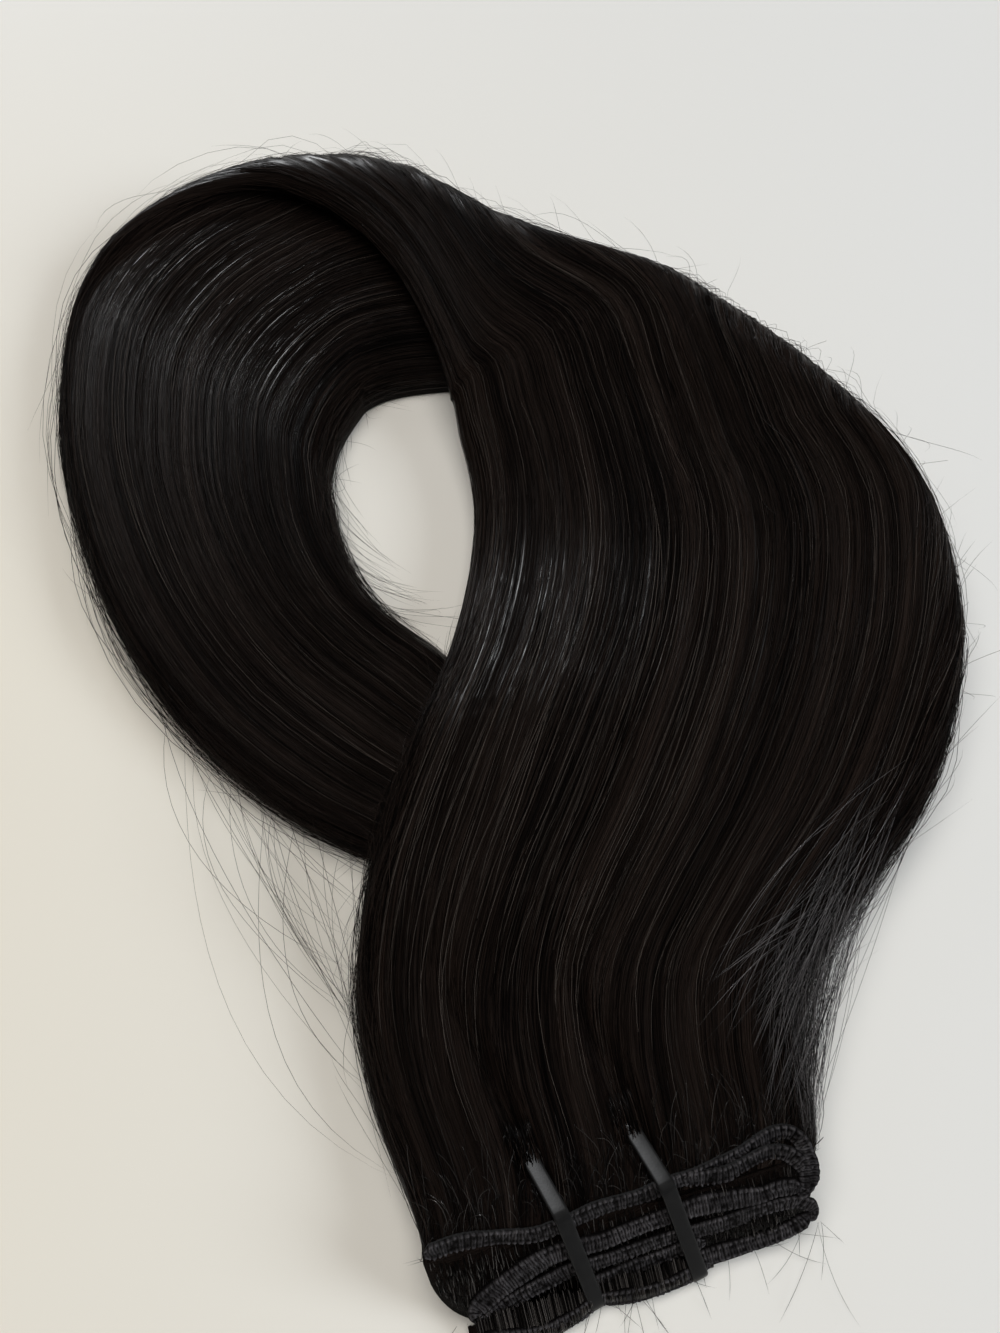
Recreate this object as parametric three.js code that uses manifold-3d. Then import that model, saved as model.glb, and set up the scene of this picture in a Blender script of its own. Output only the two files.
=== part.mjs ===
// A bundle of straight hair sewn to a folded weft. The bundle lies flat: it leaves the stacked weft,
// fans out, rolls under itself along its far edge, curls round in a loop and ends beneath itself.
// Two plain straps bind the stacked weft. Millimetres, +Z up, resting on z = 0.

import * as THREE from 'three';
import { mergeVertices } from 'three/addons/utils/BufferGeometryUtils.js';
import Module from 'manifold-3d';

const wasm = await Module();
wasm.setup();

// Driving sizes.
const SPAN = 340;               // plan size, from the stacked weft to the top of the roll
const PLY = 16;                 // thickness of the bundle where it lies single
const STACK_WIDTH = 95;         // width of the folded weft
const STACK_HEIGHT = 16;        // height of the folded weft
const STACK_SLOPE = 1.0;        // run of the stepped end for each millimetre of its height
const LOCKS = 7;                // combed locks side by side
const LOCK_RISE = 0.14;         // how far a lock rises above its creases, as a share of the thickness
const TRACK_WIDTH = 3.0;        // sewn band that heads the hair
const TRACK_THICKNESS = 1.6;
const TRACK_STEPS = 5.2;        // steps of the sewn band down the sloped end
const TIE_WIDTH = 4.0;          // strap
const TIE_THICKNESS = 1.2;
const TIE_REACH = 17;           // run of a strap over the hair, back from the top of the sloped end
const TIE_CORNER = 1.5;         // inner radius at a strap's corners
const TIE_SKEW = 12;            // degrees between a strap and the run of the hair
const TIE_DENT = 0.36;          // depth of the hair's groove above a strap, as a share of the thickness
const CLEARANCE = 0.3;          // gap between neighbouring pieces

const DEGREE = Math.PI / 180;
const STATIONS = 80;
const SHARES = LOCKS * 4;
const { clamp, lerp, smoothstep } = THREE.MathUtils;

// The upper layer sags from the crest to its middle and climbs to its brim, at these shares of its reach.
const MIDDLE_STARTS = 0.42;
const MIDDLE_ENDS = 0.42;
const BRIM_STARTS = 0.70;

// Sections of the bundle from the weft to the hidden tips.
// along: share of the run. x, y: the outline's far edge. inward: bearing across the bundle.
// upper, under: how far the upper and under layers reach inward. x, y and reaches are shares of SPAN.
// crest, base: heights of the two layers' middles. brim: height of the upper layer's free edge.
// middle: height of the upper layer between them. upperPly, underPly: the layers' thicknesses.
// Heights and thicknesses are shares of PLY.
// from, to: the stretch of the roll that exists, -90 at its foot, 0 at its outermost line, 90 on top.
// stack: how far the section keeps to the stacked weft's own width, height and slope.
const SECTION_COLUMNS = ['along', 'x', 'y', 'inward', 'upper', 'under', 'crest', 'base', 'middle', 'brim',
  'from', 'to', 'upperPly', 'underPly', 'stack'];
const SECTIONS = [
  [0.000,  0.224, -0.434, 195, 0.300, 0.000, 0.62, 0.62, 0.62, 0.62,  90,  90, 1.00, 1.00, 1.00],
  [0.030,  0.226, -0.387, 193, 0.313, 0.000, 0.62, 0.62, 0.60, 0.62,  90,  90, 1.00, 1.00, 0.60],
  [0.060,  0.224, -0.329, 188, 0.328, 0.000, 0.58, 0.58, 0.58, 0.60,  90,  90, 1.00, 1.00, 0.20],
  [0.110,  0.240, -0.271, 183, 0.349, 0.000, 0.62, 0.53, 0.54, 0.75,  80,  90, 0.94, 0.94, 0.00],
  [0.160,  0.290, -0.215, 181, 0.394, 0.000, 0.88, 0.47, 0.52, 1.32,  50,  90, 0.88, 0.81, 0.00],
  [0.210,  0.346, -0.137, 183, 0.438, 0.000, 1.12, 0.44, 0.52, 1.42,  20,  90, 0.81, 0.75, 0.00],
  [0.265,  0.379, -0.042, 186, 0.450, 0.000, 1.28, 0.42, 0.54, 1.50, -10,  90, 0.81, 0.75, 0.00],
  [0.320,  0.387,  0.050, 188, 0.434, 0.000, 1.32, 0.42, 0.52, 1.04, -50,  90, 0.81, 0.75, 0.00],
  [0.370,  0.374,  0.144, 190, 0.407, 0.024, 1.32, 0.42, 0.52, 0.58, -90,  90, 0.81, 0.75, 0.00],
  [0.415,  0.336,  0.220, 192, 0.367, 0.041, 1.34, 0.43, 0.58, 0.60, -90,  90, 0.81, 0.80, 0.00],
  [0.455,  0.267,  0.296, 197, 0.315, 0.082, 1.38, 0.43, 0.80, 0.88, -90,  90, 0.81, 0.80, 0.00],
  [0.500,  0.167,  0.380, 214, 0.252, 0.142, 1.44, 0.47, 1.40, 1.36, -90,  90, 0.75, 0.84, 0.00],
  [0.550,  0.020,  0.441, 248, 0.187, 0.165, 1.54, 0.47, 1.54, 1.50, -90,  90, 0.75, 0.88, 0.00],
  [0.600, -0.096,  0.512, 266, 0.120, 0.240, 1.60, 0.50, 1.60, 1.58, -90,  90, 0.69, 0.94, 0.00],
  [0.650, -0.226,  0.525, 290, 0.048, 0.286, 1.58, 0.53, 1.58, 1.58, -90,  90, 0.62, 1.00, 0.00],
  [0.690, -0.340,  0.478, 306, 0.000, 0.329, 1.44, 0.53, 1.44, 1.44, -90,  30, 0.56, 1.00, 0.00],
  [0.730, -0.405,  0.388, 319, 0.000, 0.338, 1.20, 0.53, 1.20, 1.20, -90, -20, 0.56, 1.00, 0.00],
  [0.770, -0.405,  0.248, 335, 0.000, 0.292, 0.98, 0.53, 0.98, 0.98, -90, -60, 0.56, 1.00, 0.00],
  [0.810, -0.368,  0.124, 350, 0.000, 0.248, 0.74, 0.51, 0.74, 0.74, -90, -90, 0.56, 1.00, 0.00],
  [0.850, -0.317,  0.016, 369, 0.000, 0.217, 0.52, 0.49, 0.52, 0.52, -90, -90, 0.56, 0.94, 0.00],
  [0.885, -0.252, -0.072, 390, 0.000, 0.203, 0.44, 0.43, 0.44, 0.44, -90, -90, 0.56, 0.81, 0.00],
  [0.915, -0.172, -0.139, 409, 0.000, 0.193, 0.39, 0.39, 0.39, 0.39, -90, -90, 0.56, 0.75, 0.00],
  [0.945, -0.095, -0.177, 423, 0.000, 0.170, 0.33, 0.33, 0.33, 0.33, -90, -90, 0.50, 0.62, 0.00],
  [0.975, -0.024, -0.195, 432, 0.000, 0.138, 0.24, 0.24, 0.24, 0.24, -90, -90, 0.40, 0.44, 0.00],
  [1.000,  0.041, -0.209, 436, 0.000, 0.106, 0.14, 0.14, 0.14, 0.14, -90, -90, 0.25, 0.25, 0.00],
].map((values) => Object.fromEntries(values.map((value, i) => [SECTION_COLUMNS[i], value])));

// The sewn band's passes over the sloped end. across: share of STACK_WIDTH from the left.
// down: steps down the slope.
const TRACK_COLUMNS = ['across', 'down'];
const TRACK_PASSES = [
  [[0.03, 0.50], [0.14, 0.35], [0.33, 0.60], [0.50, 0.45], [0.72, 0.40], [0.88, 0.25], [0.955, 0.45]],
  [[0.955, 1.45], [0.86, 1.55], [0.68, 1.50], [0.50, 1.50], [0.32, 1.80], [0.20, 2.65], [0.085, 3.60]],
  [[0.115, 4.50], [0.23, 3.65], [0.37, 2.78], [0.52, 2.42], [0.69, 2.62], [0.85, 2.55], [0.955, 2.85]],
  [[0.955, 3.85], [0.86, 3.80], [0.71, 3.62], [0.60, 3.38], [0.50, 3.35], [0.42, 3.58]],
  [[0.43, 4.52], [0.52, 4.42], [0.66, 4.50], [0.80, 4.60], [0.89, 4.60]],
].map((pass) => pass.map(([across, down]) => ({ across, down })));

// The straps cross the top of the sloped end here. across: share of STACK_WIDTH from the left.
const TIES = [
  { name: 'tie_left', across: 0.353 },
  { name: 'tie_right', across: 0.620 },
];

// Catmull-Rom through the rows of a table, column by column, at the table's own spacing.
function sectionAt(along) {
  const rows = SECTIONS;
  let i = 0;
  while (i < rows.length - 2 && rows[i + 1].along <= along) i += 1;
  const span = rows[i + 1].along - rows[i].along;
  const f = (along - rows[i].along) / span;
  const slope = (k, column) => {
    const before = rows[Math.max(k - 1, 0)];
    const after = rows[Math.min(k + 1, rows.length - 1)];
    return (after[column] - before[column]) / (after.along - before.along);
  };
  const row = {};
  for (const column of SECTION_COLUMNS) {
    row[column] = (2 * f ** 3 - 3 * f ** 2 + 1) * rows[i][column]
      + (f ** 3 - 2 * f ** 2 + f) * span * slope(i, column)
      + (3 * f ** 2 - 2 * f ** 3) * rows[i + 1][column]
      + (f ** 3 - f ** 2) * span * slope(i + 1, column);
  }
  return row;
}

// The section's real sizes: its layers, roll and thicknesses in millimetres and radians.
function sectionSizes(along) {
  const row = sectionAt(along);
  const stack = clamp(row.stack, 0, 1);
  const lift = TIE_THICKNESS + CLEARANCE;
  const size = {
    along,
    stack,
    x: row.x * SPAN,
    y: row.y * SPAN,
    bearing: row.inward * DEGREE,
    lean: STACK_SLOPE * stack,
    crest: lerp(row.crest * PLY, lift + STACK_HEIGHT / 2, stack),
    base: lerp(row.base * PLY, lift + STACK_HEIGHT / 2, stack),
    middle: lerp(row.middle * PLY, lift + STACK_HEIGHT / 2, stack),
    brim: lerp(row.brim * PLY, lift + STACK_HEIGHT / 2, stack),
    upperPly: lerp(row.upperPly * PLY, STACK_HEIGHT, stack),
    underPly: lerp(row.underPly * PLY, STACK_HEIGHT, stack),
    from: clamp(row.from, -90, 90) * DEGREE,
    to: clamp(row.to, -90, 90) * DEGREE,
  };
  size.radius = Math.max((size.crest - size.base) / 2, 0.01);
  size.roll = size.radius * Math.max(size.to - size.from, 0);
  const plyChange = size.roll + PLY;
  const outermost = clamp(size.radius * Math.max(size.to, 0) / plyChange, 0, 1);
  const faces = Math.cos(Math.max(size.from, 0)) * Math.cos(Math.min(size.to, 0));
  size.plyChange = plyChange;
  size.shift = size.radius * (2 - Math.cos(Math.max(size.from, 0)) - Math.cos(Math.min(size.to, 0)))
    - faces * lerp(size.upperPly, size.underPly, outermost) / 2;
  const upper = lerp(row.upper * SPAN, STACK_WIDTH, stack);
  size.upper = size.to > 85 * DEGREE ? Math.max(upper - size.radius + size.shift, 0) : 0;
  size.under = size.from < -85 * DEGREE ? Math.max(row.under * SPAN - size.radius + size.shift, 0) : 0;
  return size;
}

// How the thickness falls off towards the bundle's two free edges.
function edgeShare(share) {
  return Math.sqrt(Math.max(1 - Math.abs(2 * share - 1) ** 6, 0));
}

// Combed locks and the grooves above the straps, as a share of the thickness.
function combShare(along, share) {
  const lock = 1 + LOCK_RISE * (Math.abs(Math.sin(Math.PI * LOCKS * share)) - 0.6);
  const dents = TIES.map((tie) => {
    const aside = (share - (tie.across - 0.05)) / 0.035;
    const past = (along - 0.055) / 0.032;
    return TIE_DENT * Math.exp(-(aside ** 2) - past ** 2);
  });
  return lock * (1 - dents.reduce((a, b) => a + b, 0));
}

// A point of the bundle's skin. share runs across the bundle along a hair's own line, side is 1 on the
// roll's outside and -1 on its inside.
function skinPoint(size, share, side) {
  const run = share * (size.upper + size.roll + size.under);
  const rolled = clamp(run - size.upper, 0, size.roll);
  const angle = size.to - rolled / size.radius;
  const flat = Math.max(size.upper - run, 0);
  const inward = size.radius * (1 - Math.cos(angle)) + flat
    + Math.max(run - size.upper - size.roll, 0) - size.shift;
  const full = lerp(size.upperPly, size.underPly, clamp((run - size.upper) / size.plyChange, 0, 1));
  const edged = full * edgeShare(share);
  const ply = edged * combShare(size.along, share);
  const reach = flat / Math.max(size.upper, 1);
  const dip = (size.middle - size.crest) * smoothstep(reach, 0, MIDDLE_STARTS)
    + (size.brim - size.middle) * smoothstep(reach, MIDDLE_ENDS, BRIM_STARTS);
  const across = inward - side * Math.cos(angle) * ply / 2;
  const settle = (edged - ply + (full - edged) * (1 - 2 * size.stack)) / 2;
  const z = (size.crest + size.base) / 2 + size.radius * Math.sin(angle) + dip
    - Math.abs(Math.sin(angle)) * settle + side * Math.sin(angle) * ply / 2;
  const ahead = size.lean * (z - size.crest);
  return new THREE.Vector3(
    size.x + Math.cos(size.bearing) * across + Math.sin(size.bearing) * ahead,
    size.y + Math.sin(size.bearing) * across - Math.cos(size.bearing) * ahead,
    z,
  );
}

// One closed skin over a list of rings, with flat ends. Each ring is a closed loop of an even count.
function skin(rings) {
  const count = rings[0].length;
  const positions = rings.flat().flatMap((point) => point.toArray());
  const index = [];
  const triangle = (a, b, c) => {
    if (a !== b && b !== c && c !== a) index.push(a, b, c);
  };
  for (let i = 0; i < rings.length - 1; i += 1) {
    for (let j = 0; j < count; j += 1) {
      const a = i * count + j;
      const b = i * count + (j + 1) % count;
      triangle(a, b, b + count);
      triangle(a, b + count, a + count);
    }
  }
  const last = (rings.length - 1) * count;
  for (let j = 0; j < count / 2; j += 1) {
    const mate = (k) => (count - k) % count;
    triangle(j, mate(j), mate(j + 1));
    triangle(j, mate(j + 1), j + 1);
    triangle(last + j, last + mate(j + 1), last + mate(j));
    triangle(last + j, last + j + 1, last + mate(j + 1));
  }
  const geometry = new THREE.BufferGeometry();
  geometry.setAttribute('position', new THREE.Float32BufferAttribute(positions, 3));
  geometry.setIndex(index);
  return geometry;
}

function toManifold(geometry) {
  const bare = geometry.clone();
  bare.deleteAttribute('normal');
  bare.deleteAttribute('uv');
  const merged = mergeVertices(bare, 1e-4);
  return new wasm.Manifold(new wasm.Mesh({
    numProp: 3,
    vertProperties: new Float32Array(merged.attributes.position.array),
    triVerts: new Uint32Array(merged.index.array),
  }));
}

function fromManifold(solid) {
  const mesh = solid.getMesh();
  const geometry = new THREE.BufferGeometry();
  geometry.setAttribute('position', new THREE.BufferAttribute(mesh.vertProperties, 3));
  geometry.setIndex(new THREE.BufferAttribute(mesh.triVerts, 1));
  return geometry;
}

// The sloped end of the stack: its corner at the top left, and its directions across, down and out.
function stackFace() {
  const size = sectionSizes(0);
  const top = size.crest + STACK_HEIGHT / 2;
  const inward = new THREE.Vector3(Math.cos(size.bearing), Math.sin(size.bearing), 0);
  const ahead = new THREE.Vector3(Math.sin(size.bearing), -Math.cos(size.bearing), 0);
  const corner = new THREE.Vector3(size.x, size.y, top)
    .addScaledVector(inward, STACK_WIDTH)
    .addScaledVector(ahead, size.lean * STACK_HEIGHT / 2);
  const across = inward.clone().negate();
  const down = new THREE.Vector3(0, 0, -1).addScaledVector(ahead, -size.lean).normalize();
  const out = new THREE.Vector3().crossVectors(down, across).normalize();
  const length = STACK_HEIGHT * Math.hypot(1, size.lean);
  return { corner, across, down, out, ahead, top, length };
}

function hairBundle() {
  const rings = Array.from({ length: STATIONS + 1 }, (_, i) => {
    const size = sectionSizes(i / STATIONS);
    const outside = Array.from({ length: SHARES + 1 }, (_, j) => skinPoint(size, j / SHARES, 1));
    const inside = Array.from({ length: SHARES - 1 }, (_, j) => skinPoint(size, 1 - (j + 1) / SHARES, -1));
    return [...outside, ...inside];
  });
  return skin(rings);
}

// The band's path: a curve for each pass, joined by half circles where the weft folds back.
function trackPath(face) {
  const lift = CLEARANCE + TRACK_THICKNESS / 2;
  const step = face.length / TRACK_STEPS;
  const place = ({ across, down }) => face.corner.clone()
    .addScaledVector(face.across, across * STACK_WIDTH)
    .addScaledVector(face.down, down * step)
    .addScaledVector(face.out, lift);
  const curves = TRACK_PASSES.map((pass) => new THREE.CatmullRomCurve3(pass.map(place), false, 'catmullrom'));
  const path = [];
  curves.forEach((curve, k) => {
    path.push(...curve.getSpacedPoints(16));
    if (k + 1 === curves.length) return;
    const end = curve.getPoint(1);
    const start = curves[k + 1].getPoint(0);
    const centre = end.clone().lerp(start, 0.5);
    const arm = end.clone().sub(centre);
    const bulge = curve.getTangent(1).setLength(arm.length());
    for (let i = 1; i < 8; i += 1) {
      const turn = Math.PI * i / 8;
      path.push(centre.clone().addScaledVector(arm, Math.cos(turn)).addScaledVector(bulge, Math.sin(turn)));
    }
  });
  return path;
}

function weftTrack(face) {
  const path = trackPath(face);
  const half = TRACK_WIDTH / 2;
  const deep = TRACK_THICKNESS / 2;
  const outline = [[-half, 0], [-half * 0.7, deep], [half * 0.7, deep], [half, 0],
    [half * 0.7, -deep], [-half * 0.7, -deep]];
  const rings = path.map((point, i) => {
    const before = path[Math.max(i - 1, 0)];
    const after = path[Math.min(i + 1, path.length - 1)];
    const along = after.clone().sub(before).normalize();
    const side = new THREE.Vector3().crossVectors(along, face.out).normalize();
    return outline.map(([u, v]) => point.clone().addScaledVector(side, u).addScaledVector(face.out, v));
  });
  return skin(rings);
}

// A hoop of constant thickness round four corner circles, in the strap's own upright plane.
function hoopOutline(centres, radius, reversed) {
  const points = [];
  centres.forEach((centre, k) => {
    const before = centres[(k + centres.length - 1) % centres.length];
    const after = centres[(k + 1) % centres.length];
    const start = Math.atan2(centre.x - before.x, before.y - centre.y);
    let end = Math.atan2(after.x - centre.x, centre.y - after.y);
    while (end > start) end -= 2 * Math.PI;
    for (let i = 0; i <= 4; i += 1) {
      const turn = lerp(start, end, i / 4);
      points.push(new THREE.Vector2(centre.x + radius * Math.cos(turn), centre.y + radius * Math.sin(turn)));
    }
  });
  return reversed ? points.reverse() : points;
}

// A strap round the stack. inner and outer are its surfaces' distances from the strap's inside, and
// width is its width, so that the same function cuts the slot that the strap runs in.
function hoop(face, across, inner, outer, width) {
  const skew = TIE_SKEW * DEGREE;
  const forward = face.ahead.clone().negate().multiplyScalar(Math.cos(skew))
    .addScaledVector(face.across, Math.sin(skew));
  const origin = face.corner.clone().addScaledVector(face.across, across * STACK_WIDTH).setZ(0);
  const steep = forward.dot(face.out);
  const tilt = Math.hypot(steep, face.out.z);
  const offset = (TRACK_THICKNESS + 2 * CLEARANCE - TIE_CORNER) / tilt;
  const frontAt = (z) => (offset * tilt + (face.top - z) * face.out.z) / steep;
  const crown = face.top + (TRACK_THICKNESS + 3 * CLEARANCE) * face.out.z - TIE_CORNER;
  const foot = TIE_THICKNESS + TIE_CORNER;
  const centres = [
    new THREE.Vector2(-TIE_REACH, foot),
    new THREE.Vector2(-TIE_REACH, face.top - CLEARANCE - TIE_CORNER),
    new THREE.Vector2(frontAt(crown), crown),
    new THREE.Vector2(frontAt(foot), foot),
  ];
  const shape = new THREE.Shape(hoopOutline(centres, TIE_CORNER + outer, false));
  shape.holes.push(new THREE.Path(hoopOutline(centres, TIE_CORNER + inner, true)));
  const geometry = new THREE.ExtrudeGeometry(shape, { depth: width, bevelEnabled: false, steps: 1 });
  const sideways = new THREE.Vector3().crossVectors(forward, new THREE.Vector3(0, 0, 1));
  const basis = new THREE.Matrix4().makeBasis(forward, new THREE.Vector3(0, 0, 1), sideways);
  basis.setPosition(origin.clone().addScaledVector(sideways, -width / 2));
  geometry.applyMatrix4(basis);
  return geometry;
}

function hairWithSlots(face) {
  let solid = toManifold(hairBundle());
  for (const tie of TIES) {
    const slot = hoop(face, tie.across, -CLEARANCE, TIE_THICKNESS + CLEARANCE, TIE_WIDTH + 2 * CLEARANCE);
    solid = solid.subtract(toManifold(slot));
  }
  return fromManifold(solid);
}

function piece(name, geometry, look) {
  const mesh = new THREE.Mesh(geometry, new THREE.MeshStandardMaterial(look));
  mesh.name = name;
  return mesh;
}

const group = new THREE.Group();
const face = stackFace();
group.add(piece('hair', hairWithSlots(face), { color: 0x1a1412, roughness: 0.4, metalness: 0 }));
group.add(piece('weft_track', weftTrack(face), { color: 0x2b2a2c, roughness: 0.85, metalness: 0 }));
for (const tie of TIES) {
  const strap = hoop(face, tie.across, 0, TIE_THICKNESS, TIE_WIDTH);
  group.add(piece(tie.name, strap, { color: 0x101012, roughness: 0.3, metalness: 0 }));
}

// The origin is the middle of the bundle's footprint.
const box = new THREE.Box3().setFromObject(group);
group.position.set(-(box.min.x + box.max.x) / 2, -(box.min.y + box.max.y) / 2, 0);

export default group;
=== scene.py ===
"""A bundle of straight dark hair sewn to a folded weft and bound with two flat straps, on a pale floor."""

import bpy
import numpy as np
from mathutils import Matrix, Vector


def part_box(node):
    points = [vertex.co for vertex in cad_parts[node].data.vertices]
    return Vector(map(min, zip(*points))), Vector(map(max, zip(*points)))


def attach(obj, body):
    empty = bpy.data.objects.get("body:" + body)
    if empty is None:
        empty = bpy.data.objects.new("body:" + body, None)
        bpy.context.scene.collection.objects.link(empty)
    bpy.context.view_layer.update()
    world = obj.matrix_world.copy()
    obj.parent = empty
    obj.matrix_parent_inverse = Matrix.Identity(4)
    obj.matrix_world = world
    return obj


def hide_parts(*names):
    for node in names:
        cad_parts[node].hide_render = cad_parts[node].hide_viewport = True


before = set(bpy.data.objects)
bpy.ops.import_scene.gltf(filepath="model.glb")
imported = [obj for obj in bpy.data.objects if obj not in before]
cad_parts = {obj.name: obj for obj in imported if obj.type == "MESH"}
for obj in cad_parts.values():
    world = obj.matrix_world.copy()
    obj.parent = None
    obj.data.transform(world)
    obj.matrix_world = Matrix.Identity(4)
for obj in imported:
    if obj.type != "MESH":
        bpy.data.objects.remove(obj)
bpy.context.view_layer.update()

# Sizes in metres, as in the part.
SPAN = 0.340
PLY = 0.016
STACK_WIDTH = 0.095
STACK_HEIGHT = 0.016
STACK_SLOPE = 1.0
LOCKS = 7
LOCK_RISE = 0.14
TRACK_THICKNESS = 0.0016
TRACK_STEPS = 5.2
TIE_WIDTH = 0.0040
TIE_THICKNESS = 0.0012
TIE_REACH = 0.017
TIE_CORNER = 0.0015
TIE_SKEW = np.radians(12)
CLEARANCE = 0.0003
CAD_STATIONS = 80
CAD_SHARES = LOCKS * 4

# The upper layer sags from the crest to its middle and climbs to its brim, at these shares of its reach.
# The combed skin sags less than the part's solid does.
MIDDLE_STARTS = 0.42
BRIM_STARTS = 0.70
SAG = 0.55

# Sections of the bundle from the weft to the hidden tips, as in the part: plan lengths are shares of SPAN,
# heights and thicknesses shares of PLY, bearings and the roll's ends in degrees.
SECTION_COLUMNS = ("along", "x", "y", "inward", "upper", "under", "crest", "base", "middle", "brim",
                   "from", "to", "upper_ply", "under_ply", "stack")
SECTIONS = np.array([
    [0.000,  0.224, -0.434, 195, 0.300, 0.000, 0.62, 0.62, 0.62, 0.62,  90,  90, 1.00, 1.00, 1.00],
    [0.030,  0.226, -0.387, 193, 0.313, 0.000, 0.62, 0.62, 0.60, 0.62,  90,  90, 1.00, 1.00, 0.60],
    [0.060,  0.224, -0.329, 188, 0.328, 0.000, 0.58, 0.58, 0.58, 0.60,  90,  90, 1.00, 1.00, 0.20],
    [0.110,  0.240, -0.271, 183, 0.349, 0.000, 0.62, 0.53, 0.54, 0.75,  80,  90, 0.94, 0.94, 0.00],
    [0.160,  0.290, -0.215, 181, 0.394, 0.000, 0.88, 0.47, 0.52, 1.32,  50,  90, 0.88, 0.81, 0.00],
    [0.210,  0.346, -0.137, 183, 0.438, 0.000, 1.12, 0.44, 0.52, 1.42,  20,  90, 0.81, 0.75, 0.00],
    [0.265,  0.379, -0.042, 186, 0.450, 0.000, 1.28, 0.42, 0.54, 1.50, -10,  90, 0.81, 0.75, 0.00],
    [0.320,  0.387,  0.050, 188, 0.434, 0.000, 1.32, 0.42, 0.52, 1.04, -50,  90, 0.81, 0.75, 0.00],
    [0.370,  0.374,  0.144, 190, 0.407, 0.024, 1.32, 0.42, 0.52, 0.58, -90,  90, 0.81, 0.75, 0.00],
    [0.415,  0.336,  0.220, 192, 0.367, 0.041, 1.34, 0.43, 0.58, 0.60, -90,  90, 0.81, 0.80, 0.00],
    [0.455,  0.267,  0.296, 197, 0.315, 0.082, 1.38, 0.43, 0.80, 0.88, -90,  90, 0.81, 0.80, 0.00],
    [0.500,  0.167,  0.380, 214, 0.252, 0.142, 1.44, 0.47, 1.40, 1.36, -90,  90, 0.75, 0.84, 0.00],
    [0.550,  0.020,  0.441, 248, 0.187, 0.165, 1.54, 0.47, 1.54, 1.50, -90,  90, 0.75, 0.88, 0.00],
    [0.600, -0.096,  0.512, 266, 0.120, 0.240, 1.60, 0.50, 1.60, 1.58, -90,  90, 0.69, 0.94, 0.00],
    [0.650, -0.226,  0.525, 290, 0.048, 0.286, 1.58, 0.53, 1.58, 1.58, -90,  90, 0.62, 1.00, 0.00],
    [0.690, -0.340,  0.478, 306, 0.000, 0.329, 1.44, 0.53, 1.44, 1.44, -90,  30, 0.56, 1.00, 0.00],
    [0.730, -0.405,  0.388, 319, 0.000, 0.338, 1.20, 0.53, 1.20, 1.20, -90, -20, 0.56, 1.00, 0.00],
    [0.770, -0.405,  0.248, 335, 0.000, 0.292, 0.98, 0.53, 0.98, 0.98, -90, -60, 0.56, 1.00, 0.00],
    [0.810, -0.368,  0.124, 350, 0.000, 0.248, 0.74, 0.51, 0.74, 0.74, -90, -90, 0.56, 1.00, 0.00],
    [0.850, -0.317,  0.016, 369, 0.000, 0.217, 0.52, 0.49, 0.52, 0.52, -90, -90, 0.56, 0.94, 0.00],
    [0.885, -0.252, -0.072, 390, 0.000, 0.203, 0.44, 0.43, 0.44, 0.44, -90, -90, 0.56, 0.81, 0.00],
    [0.915, -0.172, -0.139, 409, 0.000, 0.193, 0.39, 0.39, 0.39, 0.39, -90, -90, 0.56, 0.75, 0.00],
    [0.945, -0.095, -0.177, 423, 0.000, 0.170, 0.33, 0.33, 0.33, 0.33, -90, -90, 0.50, 0.62, 0.00],
    [0.975, -0.024, -0.195, 432, 0.000, 0.138, 0.24, 0.24, 0.24, 0.24, -90, -90, 0.40, 0.44, 0.00],
    [1.000,  0.041, -0.209, 436, 0.000, 0.106, 0.14, 0.14, 0.14, 0.14, -90, -90, 0.25, 0.25, 0.00],
])

# The sewn bands' routes: share of STACK_WIDTH from the left, steps down the sloped end. A negative step
# lies back on top of the hair. The folded band runs over the top, down the right side and back, and each
# of its rows ends in a fold. The tucked and middle bands start and end under it or under a strap.
FOLDED_ROUTES = (
    ((0.005, -0.45), (0.090, -0.60), (0.187, -0.34), (0.275, 0.00), (0.351, -0.10), (0.448, -0.36),
     (0.562, -0.38), (0.625, -0.60), (0.720, -0.68), (0.786, -0.90), (0.853, -1.30), (0.912, -1.62),
     (0.952, -1.55), (0.976, -0.95), (0.981, -0.05), (0.978, 0.90), (0.970, 1.75)),
    ((0.950, 1.80), (0.930, 1.45), (0.887, 1.32), (0.847, 1.40), (0.784, 1.20), (0.700, 1.00),
     (0.633, 1.05), (0.573, 1.13), (0.508, 1.28), (0.433, 1.50), (0.370, 1.42), (0.305, 1.45),
     (0.235, 1.95), (0.168, 2.55), (0.105, 3.35)),
    ((0.130, 4.20), (0.205, 3.45), (0.295, 2.95), (0.360, 2.68), (0.433, 2.70), (0.518, 2.55),
     (0.605, 2.42), (0.700, 2.50), (0.757, 2.48), (0.815, 2.36), (0.880, 2.30), (0.935, 2.45),
     (0.962, 2.80)),
    ((0.962, 3.55), (0.924, 3.95), (0.868, 4.18), (0.785, 4.26), (0.694, 4.30), (0.650, 4.30)),
)
TUCKED_ROUTE = ((0.660, -0.55), (0.720, -0.40), (0.775, -0.28), (0.830, -0.52), (0.885, -0.76),
                (0.930, -0.50), (0.962, 0.25), (0.982, 1.10))
MIDDLE_ROUTE = ((0.385, 4.05), (0.440, 3.92), (0.490, 3.74), (0.558, 3.56), (0.640, 3.38), (0.690, 3.45))

# Where the straps cross the top of the sloped end, as shares of STACK_WIDTH. Each strap and the groove
# above it keep to one line, which drifts across the bundle as it runs along, as far as the groove's end.
TIES = {"tie_left": 0.353, "tie_right": 0.620}
GROOVE_DRIFT = 1.4
GROOVE_END = 0.14

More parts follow.
